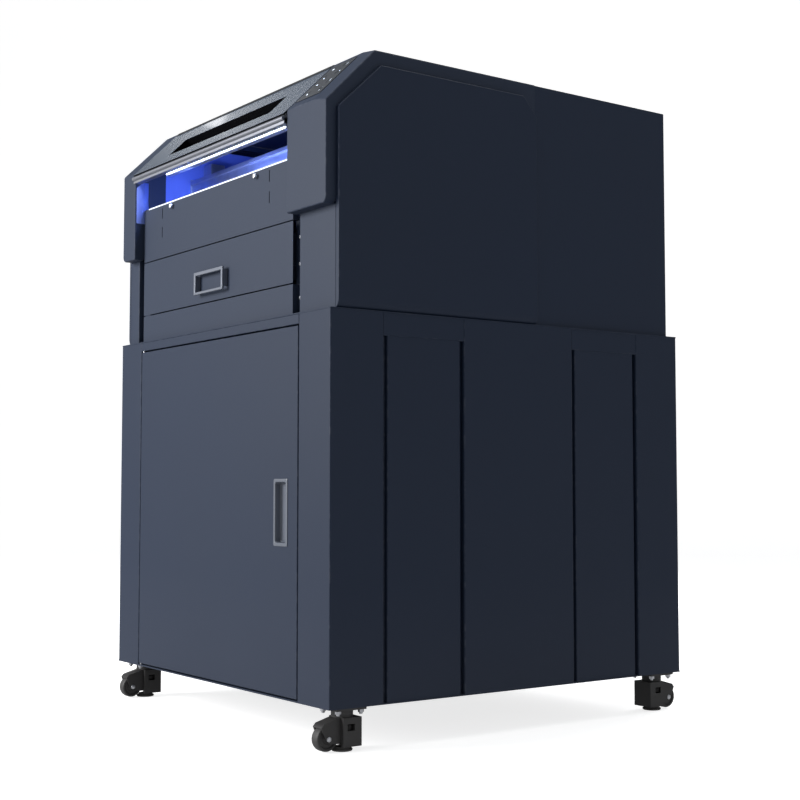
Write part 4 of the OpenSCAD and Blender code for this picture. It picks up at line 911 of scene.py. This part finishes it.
def cap_shell(node, inner_x, outer_x, bevel_w, drop):
    """The cap's outer skin: front, slant, top, outer side, rounded lower edge and inner wall."""
    low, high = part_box(node)
    front_y, rear_y, top_z = low.y, high.y, high.z
    foot_z = slant_foot_z
    side = 1 if outer_x > inner_x else -1
    slant = math.atan2(top_z - foot_z, ridge_y - front_y)
    line_x = outer_x - side * bevel_w
    foot_drop = drop / math.cos(slant)
    bm = bmesh.new()

    def at(x, y, z):
        return bm.verts.new((x, y, z))

    arc = [(inner_x, cap_low_z)]
    for k in range(cap_corner_steps + 1):
        a = math.radians(-90 + 90 * k / cap_corner_steps)
        x = outer_x - side * cap_corner_r * (1 - math.cos(a))
        arc.append((x, cap_low_z + cap_corner_r * (1 + math.sin(a))))
    front = [at(x, front_y, z) for x, z in arc]
    under = [at(x, pod_face_y, z) for x, z in arc]
    foot, ridge, rear = (
        [at(outer_x, y, z - lower), at(line_x, y, z), at(inner_x, y, z)]
        for y, z, lower in ((front_y, foot_z, foot_drop), (ridge_y, top_z, drop), (rear_y, top_z, drop))
    )
    bm.faces.new([*front, *foot])
    for a, b, c, d in zip(front, front[1:], under[1:], under):
        bm.faces.new((a, b, c, d))
    for row, following in ((foot, ridge), (ridge, rear)):
        bm.faces.new((row[0], row[1], following[1], following[0]))
        bm.faces.new((row[1], row[2], following[2], following[1]))
    base_front, base_rear = at(outer_x, pod_face_y, deck_z), at(outer_x, rear_y, deck_z)
    bm.faces.new((front[-1], foot[0], ridge[0], rear[0], base_rear, base_front, under[-1]))
    wall_top_z = foot_z + (inner_wall_y - front_y) * math.tan(slant)
    wall = [at(inner_x, inner_wall_y, cap_low_z), at(inner_x, inner_wall_y, wall_top_z - 0.020)]
    flange = [at(inner_x, ridge_y, top_z - 0.016), at(inner_x, rear_y, top_z - 0.016)]
    bm.faces.new((front[0], under[0], wall[0], wall[1], flange[0], flange[1], rear[2], ridge[2], foot[2]))
    face_outward(bm, (side, 0.0, 0.0), among=lambda face: abs(face.normal.x) > 0.99)
    round_edges(bm, 0.0030, 3, 28)

    def shallow_and_long(e):
        return 0.08 < e.calc_face_angle(0.0) < 0.3 and e.calc_length() > 0.1

    return round_edges(bm, 0.0012, 2, 6, only=shallow_and_long)


right_low, right_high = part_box("right_cap")
left_low, left_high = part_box("left_cap")
right_skin = cap_shell("right_cap", right_low.x, right_high.x, 0.045, 0.0065)
finished(right_skin, "right_cap_skin", "machine", "navy_paint", navy_front, "right_cap", thickness=sheet)
left_skin = cap_shell("left_cap", left_high.x, left_low.x, 0.020, 0.0)
finished(left_skin, "left_cap_skin", "machine", "navy_paint", navy_front, "left_cap", thickness=sheet)

# ---------------------------------------------------------------- control panel
# A gloss black touch panel let into the right cap's slanted face, with rows of generic key marks.
# The marks are lit and stand a little proud of the glass. Nothing on the panel travels.

cap_front_y, cap_top_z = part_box("right_cap")[0].y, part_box("right_cap")[1].z
slant = math.atan2(cap_top_z - slant_foot_z, ridge_y - cap_front_y)


def on_slant(across, up, out):
    """A point on the slanted face: across the machine, up the slope and out from it."""
    return Vector((
        across,
        cap_front_y + up * math.cos(slant) - out * math.sin(slant),
        slant_foot_z + up * math.sin(slant) + out * math.cos(slant),
    ))


def slant_block(x0, x1, up0, up1, out0, out1, width=0.0008, segments=3):
    """A rounded bar that lies in the slanted face's own directions."""
    bm = block((x0, up0, out0), (x1, up1, out1), width, segments)
    for v in bm.verts:
        v.co = on_slant(*v.co)
    return bm


panel_low, panel_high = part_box("control_panel")
panel_gloss = coat(
    "panel_gloss", (0.010, 0.013, 0.020), rough=0.20, grain_scale=300.0, mottle=0.2, rub=0.0, dust=0.05,
    bump=0.02, Specular_IOR_Level=0.35,
)
eased("control_panel", "machine", "black_gloss", panel_gloss, 0.0006, 2, 30, "touch_panel_glass")

key_print = coat(
    "key_print", (0.62, 0.68, 0.76), rough=0.3, grain_scale=900.0, rub=0.0, dust=0.0,
    Emission_Color=(0.72, 0.84, 1.0, 1.0), Emission_Strength=1.6,
)
marks = []
panel_up0 = (panel_low.z - slant_foot_z) / math.sin(slant)
panel_up1 = (panel_high.z - slant_foot_z) / math.sin(slant)
panel_w = panel_high.x - panel_low.x
columns_up, rows_up = 3, 6
mark_t = 0.0006
for row in range(rows_up):
    for column in range(columns_up):
        x = panel_low.x + panel_w * (column + 0.5) / columns_up
        up = panel_up0 + (panel_up1 - panel_up0) * (row + 0.9) / (rows_up + 0.9)
        size = panel_w * 0.095
        kind = (row + column) % 3
        if kind == 0:
            hollow = size * 0.70
            ring_outline = [(hollow, 0.0), (size, 0.0), (size, mark_t), (hollow, mark_t), (hollow, 0.0)]
            mark = turned(ring_outline, (0, 0, 0), "Z", 20)
        elif kind == 1:
            mark = turned([(0.0, 0.0), (size, 0.0), (size, mark_t), (0.0, mark_t)], (0, 0, 0), "Z", 3)
        else:
            mark = block((-size, -size * 0.22, 0.0), (size, size * 0.22, mark_t), 0.00003, 1)
        for v in mark.verts:
            v.co = on_slant(x + v.co.x, up + v.co.y, 0.0003 + v.co.z)
        marks.append(mark)
finished(join(marks), "touch_key_marks", "machine", "black_gloss", key_print)

# ---------------------------------------------------------------- top and rear covers
# The top sheet lies between the caps, and a rear cover a step lower closes the back of the upper body.
# Vent slots and the openings for the fan, inlet and switch are cut in the rear cover.

eased("top_cover", "machine", "navy_paint", navy_front, 0.0008)
eased("rear_cover", "machine", "navy_paint", navy_cabinet, 0.0010)
eased("rear_panel", "machine", "navy_paint", navy_cabinet, 0.0006)

# a dark foam strip closes the slit under the top sheet's rear edge
top_low, top_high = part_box("top_cover")
rear_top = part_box("rear_cover")[1].z
foam = block(
    (top_low.x + 0.002, top_high.y - 0.006, rear_top - 0.004),
    (top_high.x - 0.002, top_high.y - 0.0005, top_high.z - 0.0016), 0.0005, 1,
)
finished(foam, "rear_joint_foam", "machine", "navy_paint", rubber)
eased("rear_panel_screws", "machine", "zinc_steel", zinc, 0.0004, 2, 30, "rear_panel_screw_heads")

# ---------------------------------------------------------------- fan, inlet and switch
# The fan's frame with round guard wires, an appliance inlet in a screwed flange and a rocker switch.
# No cord is fitted: only the inlet is there.

fan_low, fan_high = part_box("rear_fan")
eased("rear_fan", "machine", "black_plastic", black_moulded, 0.0005, 2, 34, "fan_body")
fan_mid = (fan_low + fan_high) / 2
fan_r = (fan_high.x - fan_low.x) / 2
guard_y = fan_high.y - 0.0012
wire_r, wire_sides, ring_steps = 0.0009, 8, 56
guard = []
for share in (0.30, 0.50, 0.70, 0.90):
    wire = bmesh.new()
    loops = []
    for a in (math.tau * k / ring_steps for k in range(ring_steps)):
        loop = []
        for b in (math.tau * j / wire_sides for j in range(wire_sides)):
            r = fan_r * share + wire_r * math.cos(b)
            at = (fan_mid.x + r * math.cos(a), guard_y + wire_r * math.sin(b), fan_mid.z + r * math.sin(a))
            loop.append(wire.verts.new(at))
        loops.append(loop)
    loft(wire, [*loops, loops[0]], close_end=False)
    bmesh.ops.recalc_face_normals(wire, faces=wire.faces)
    guard.append(wire)
finished(join(guard), "fan_guard_wires", "machine", "zinc_steel", zinc)

eased("power_inlet", "machine", "black_plastic", black_moulded, 0.0005)
eased("main_switch", "switch_body", "black_plastic", black_moulded, 0.0006)

# ---------------------------------------------------------------- hood
# The hood is a moulded gloss sheet with a finger scoop pressed into it. It hangs from a long hinge
# under the top cover, with a metal lip rail on a dark carrier along its lower edge.

hood_tint = coat(
    "hood_gloss", (0.036, 0.058, 0.098), rough=0.15, grain_scale=500.0, mottle=0.2, rub=0.0, dust=0.0,
    bump=0.0, Coat_Weight=0.5, Coat_Roughness=0.05,
)
tree = hood_tint.node_tree
shader = tree.nodes["Principled BSDF"]
# painted shade: marked faces are mixed to near black and their coat and specular are turned down
painted_shade_in = add_node(tree, "ShaderNodeAttribute", attribute_name="painted_shade").outputs["Fac"]
plain = shader.inputs["Base Color"].links[0].from_socket
tree.links.new(blend(tree, painted_shade_in, plain, (0.003, 0.003, 0.004, 1.0)), shader.inputs["Base Color"])
tree.links.new(number(tree, "MULTIPLY_ADD", painted_shade_in, -0.5, 0.5), shader.inputs["Coat Weight"])
tree.links.new(number(tree, "MULTIPLY_ADD", painted_shade_in, -0.4, 0.5), shader.inputs["Specular IOR Level"])

# painted shade: the scoop's inner faces and the hood's inner side are painted near black, with less coat and
# shine, for the shadow inside the scoop
shell = round_edges(cad_shape("hood_panel"), 0.0012, 3, 22)
foot_point = on_slant(0, 0, 0)
out_way = on_slant(0, 0, 1) - foot_point
painted_shade = shell.faces.layers.float.new("painted_shade")
heights = [(f, (f.calc_center_median() - foot_point).dot(out_way)) for f in shell.faces]
scoop_from = max(height for f, height in heights) - 0.002
for f, height in heights:
    f[painted_shade] = 1.0 if height < scoop_from else 0.0
finished(shell, "hood_shell", "hood", "hood_gloss", hood_tint, "hood_panel")

rail_satin = metal("rail_satin", (0.24, 0.25, 0.28), rough=0.36, stretch=(0.04, 1.0, 1.0))
eased("hood_rail", "hood", "aluminium", rail_satin, 0.0005, 2, 34, "hood_lip_rail")
eased("hood_hinge_moving", "hood", "black_steel", black_steel, 0.0003, 1, 40)
eased("hood_hinge_fixed", "machine", "black_steel", black_steel, 0.0003, 1, 40)

# a black seal along the hood's upper edge
seal_x0, seal_x1 = hood_low.x + 0.004, hood_high.x - 0.004
seal_up1 = (hood_high.z - slant_foot_z) / math.sin(slant)
seal = slant_block(seal_x0, seal_x1, seal_up1 - 0.0060, seal_up1 - 0.0008, -0.0001, 0.0012, 0.0004, 2)
finished(seal, "hood_top_seal", "hood", "black_plastic", rubber)

# ---------------------------------------------------------------- lamp
# A white diffuser, lit from within, in an aluminium channel under the hood's carrier.
# It rides with the hood and lights the bed.

lamp_low, lamp_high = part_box("led_bar")
eased("led_bar", "hood", "aluminium", anodised, 0.0004)
lit = coat(
    "lamp_diffuser", (0.85, 0.92, 1.0), rough=0.5, grain_scale=300.0, rub=0.0, dust=0.0,
    Emission_Color=(0.72, 0.84, 1.0, 1.0), Emission_Strength=9.0,
)
diffuser = block(
    (lamp_low.x + 0.0022, lamp_low.y + 0.0004, lamp_low.z + 0.0024),
    (lamp_high.x - 0.0022, lamp_low.y + 0.0018, lamp_low.z + 0.0116), 0.0004, 2,
)
finished(diffuser, "lamp_diffuser", "hood", "clear_plastic", lit)

# ---------------------------------------------------------------- front panels
# Two folded sheets between the channels. The upper one has two pairs of upright slots, two knurled
# thumbscrews and a painted highlight: a white strip that glows along the window, for its lamp-lit edge.

for node in ("lower_strip", "front_panel"):
    eased(node, "machine", "navy_paint", navy_front, 0.0010, 3, 34, node + "_fold")
thumb_low, thumb_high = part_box("thumbscrews")

# painted highlight: a white glowing strip along the window's lower edge stands in for the edge lit by the
# bay's lamp; dark rubber sits behind the slots
strip_low, strip_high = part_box("front_panel")
cap_in_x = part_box("left_cap")[1].x
strip = block(
    (strip_low.x + 0.030, strip_low.y - 0.0004, strip_high.z - 0.0026),
    (strip_high.x - 0.030, strip_low.y + 0.0040, strip_high.z + 0.0006), 0.0006, 2,
)
# painted highlight: white with a faint glow, for the lamp-lit edge of the window
painted_edge_highlight = coat(
    "painted_highlight_white", (0.80, 0.84, 0.92), rough=0.35, grain_scale=600.0, dust=0.0,
    Emission_Color=(0.80, 0.88, 1.0, 1.0), Emission_Strength=0.45,
)
finished(strip, "window_edging", "machine", "navy_paint", painted_edge_highlight)
slots_mid = (thumb_low.x + thumb_high.x) / 2
slots_off = 0.266
backs = [
    block(
        (x - 0.006, strip_low.y + sheet + 0.0001, strip_high.z - 0.090),
        (x + 0.006, strip_low.y + sheet + 0.0009, strip_high.z - 0.006), 0.0002, 1,
    )
    for x in (slots_mid - slots_off, slots_mid + slots_off)
]
finished(join(backs), "slot_backing", "machine", "navy_paint", rubber)

# the bay's left end is lined with a thin sheet, cut back under the hood's slope; its bright blue is partly
# painted light, for the blue lamp light on the cap's inner wall
liner = bmesh.new()
liner_y0, liner_y1 = cap_front_y + 0.004, strip_low.y + 0.012
liner_z0, liner_z1 = strip_high.z - 0.034, slant_foot_z - 0.022
corner_cut = 0.016
liner_outline = (
    (liner_y0, liner_z0), (liner_y1, liner_z0), (liner_y1, liner_z1),
    (liner_y0 + corner_cut, liner_z1), (liner_y0, liner_z1 - corner_cut),
)
liner.faces.new([liner.verts.new((cap_in_x + 0.0009, y, z)) for y, z in liner_outline])
face_outward(liner, (1.0, 0.0, 0.0))
finished(liner, "bay_end_liner", "machine", "blue_paint", bay_blue_and_lamp_light, thickness=0.0007, flat=True)

thumb_z = (thumb_low.z + thumb_high.z) / 2
thumb_r = (thumb_high.z - thumb_low.z) / 2
knurls, knurl_depth = 48, 0.93
knurled = []
for x in (thumb_low.x + thumb_r, thumb_high.x - thumb_r):
    bm = bmesh.new()
    loops = []
    for y, share in (
        (thumb_high.y, 0.5), (thumb_high.y - 0.0005, 0.99), (thumb_low.y + 0.0006, 0.99), (thumb_low.y, 0.80)
    ):
        dip = knurl_depth if share > 0.9 else 1.0
        loop = []
        for k in range(knurls):
            a = math.tau * k / knurls
            r = thumb_r * share * (1.0 if k % 2 else dip)
            loop.append(bm.verts.new((x + r * math.cos(a), y, thumb_z + r * math.sin(a))))
        loops.append(loop)
    bm.faces.new(loops[0])
    loft(bm, loops)
    bmesh.ops.recalc_face_normals(bm, faces=bm.faces)
    knurled.append(bm)
finished(join(knurled), "knurled_thumbscrews", "machine", "zinc_steel", zinc, "thumbscrews", flat=True)

# ---------------------------------------------------------------- drawer
# A tray of sheet with a front face, with runners in a pair of slide rails and a square-cornered
# pull handle on the face.

eased("drawer", "drawer_body", "navy_paint", navy_front, 0.0008, 3, 34, "drawer_tray")
eased("drawer_handle", "drawer_body", "grey_plastic", silver_grey, 0.0020, 4, 34, "drawer_pull")
eased("drawer_slides", "machine", "zinc_steel", zinc, 0.0004)

# ---------------------------------------------------------------- printing unit
# The bay, whose blue paint is partly painted lamp light, holds the beam with its rails and belt, the carriage
# with its heads, and the perforated bed on two guides and a screw.

eased("print_bay", "machine", "blue_paint", bay_blue_and_lamp_light, 0.0008)
eased("gantry", "machine", "aluminium", anodised, 0.0006)
eased("carriage", "carriage_body", "black_plastic", black_moulded, 0.0010)
eased("print_heads", "head_body", "black_plastic", black_steel, 0.0008)
eased("bed_guides", "machine", "zinc_steel", zinc, 0.0004)
eased("bed", "bed_body", "aluminium", ground_bed, 0.0006, 2, 34, "bed_plate")

# suction holes on the bed, one small chamfered ring each
bed_low, bed_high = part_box("bed")
hole_pitch, hole_margin = 0.030, 0.030
ring_outline = [
    (0.0011, 0.0001), (0.0017, 0.0003), (0.0021, 0.0001), (0.0021, -0.0002), (0.0011, -0.0002),
    (0.0011, 0.0001),
]
ring_mesh = plain_mesh("suction_ring", turned(ring_outline, (0, 0, 0), "Z", 10))
across = int((bed_high.x - bed_low.x - 2 * hole_margin) / hole_pitch)
deep = int((bed_high.y - bed_low.y - 2 * hole_margin) / hole_pitch)
hole_points = [
    (bed_low.x + hole_margin + hole_pitch * i, bed_low.y + hole_margin + hole_pitch * j, bed_high.z)
    for i in range(across + 1) for j in range(deep + 1)
]
scatter("bed_suction_rings", ring_mesh, hole_points, (0, 0, 1), "bed_body", black_steel)

# the drive belt along the beam
beam_low, beam_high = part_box("gantry")
belt = block(
    (beam_low.x + 0.030, beam_low.y + 0.0092, beam_low.z + 0.066),
    (beam_high.x - 0.030, beam_low.y + 0.0106, beam_low.z + 0.072), 0.0002, 1,
)
finished(belt, "drive_belt", "machine", "foot_rubber", rubber)

# ---------------------------------------------------------------- cabinet contents
# A power supply, a pale waste bottle and a vacuum pump stand on the shelf, behind the
# cabinet's door.

eased("power_supply", "machine", "zinc_steel", zinc, 0.0008)
eased("air_pump", "machine", "black_steel", black_steel, 0.0010)
waste = coat("bottle_plastic", (0.62, 0.66, 0.66), rough=0.35, grain_scale=260.0, rub=0.0, dust=0.2)
eased("waste_bottle", "machine", "clear_plastic", waste, 0.0030, 4, 30, "waste_bottle_shell")

# ---------------------------------------------------------------- size
# The finished model's box is measured.

low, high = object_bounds()
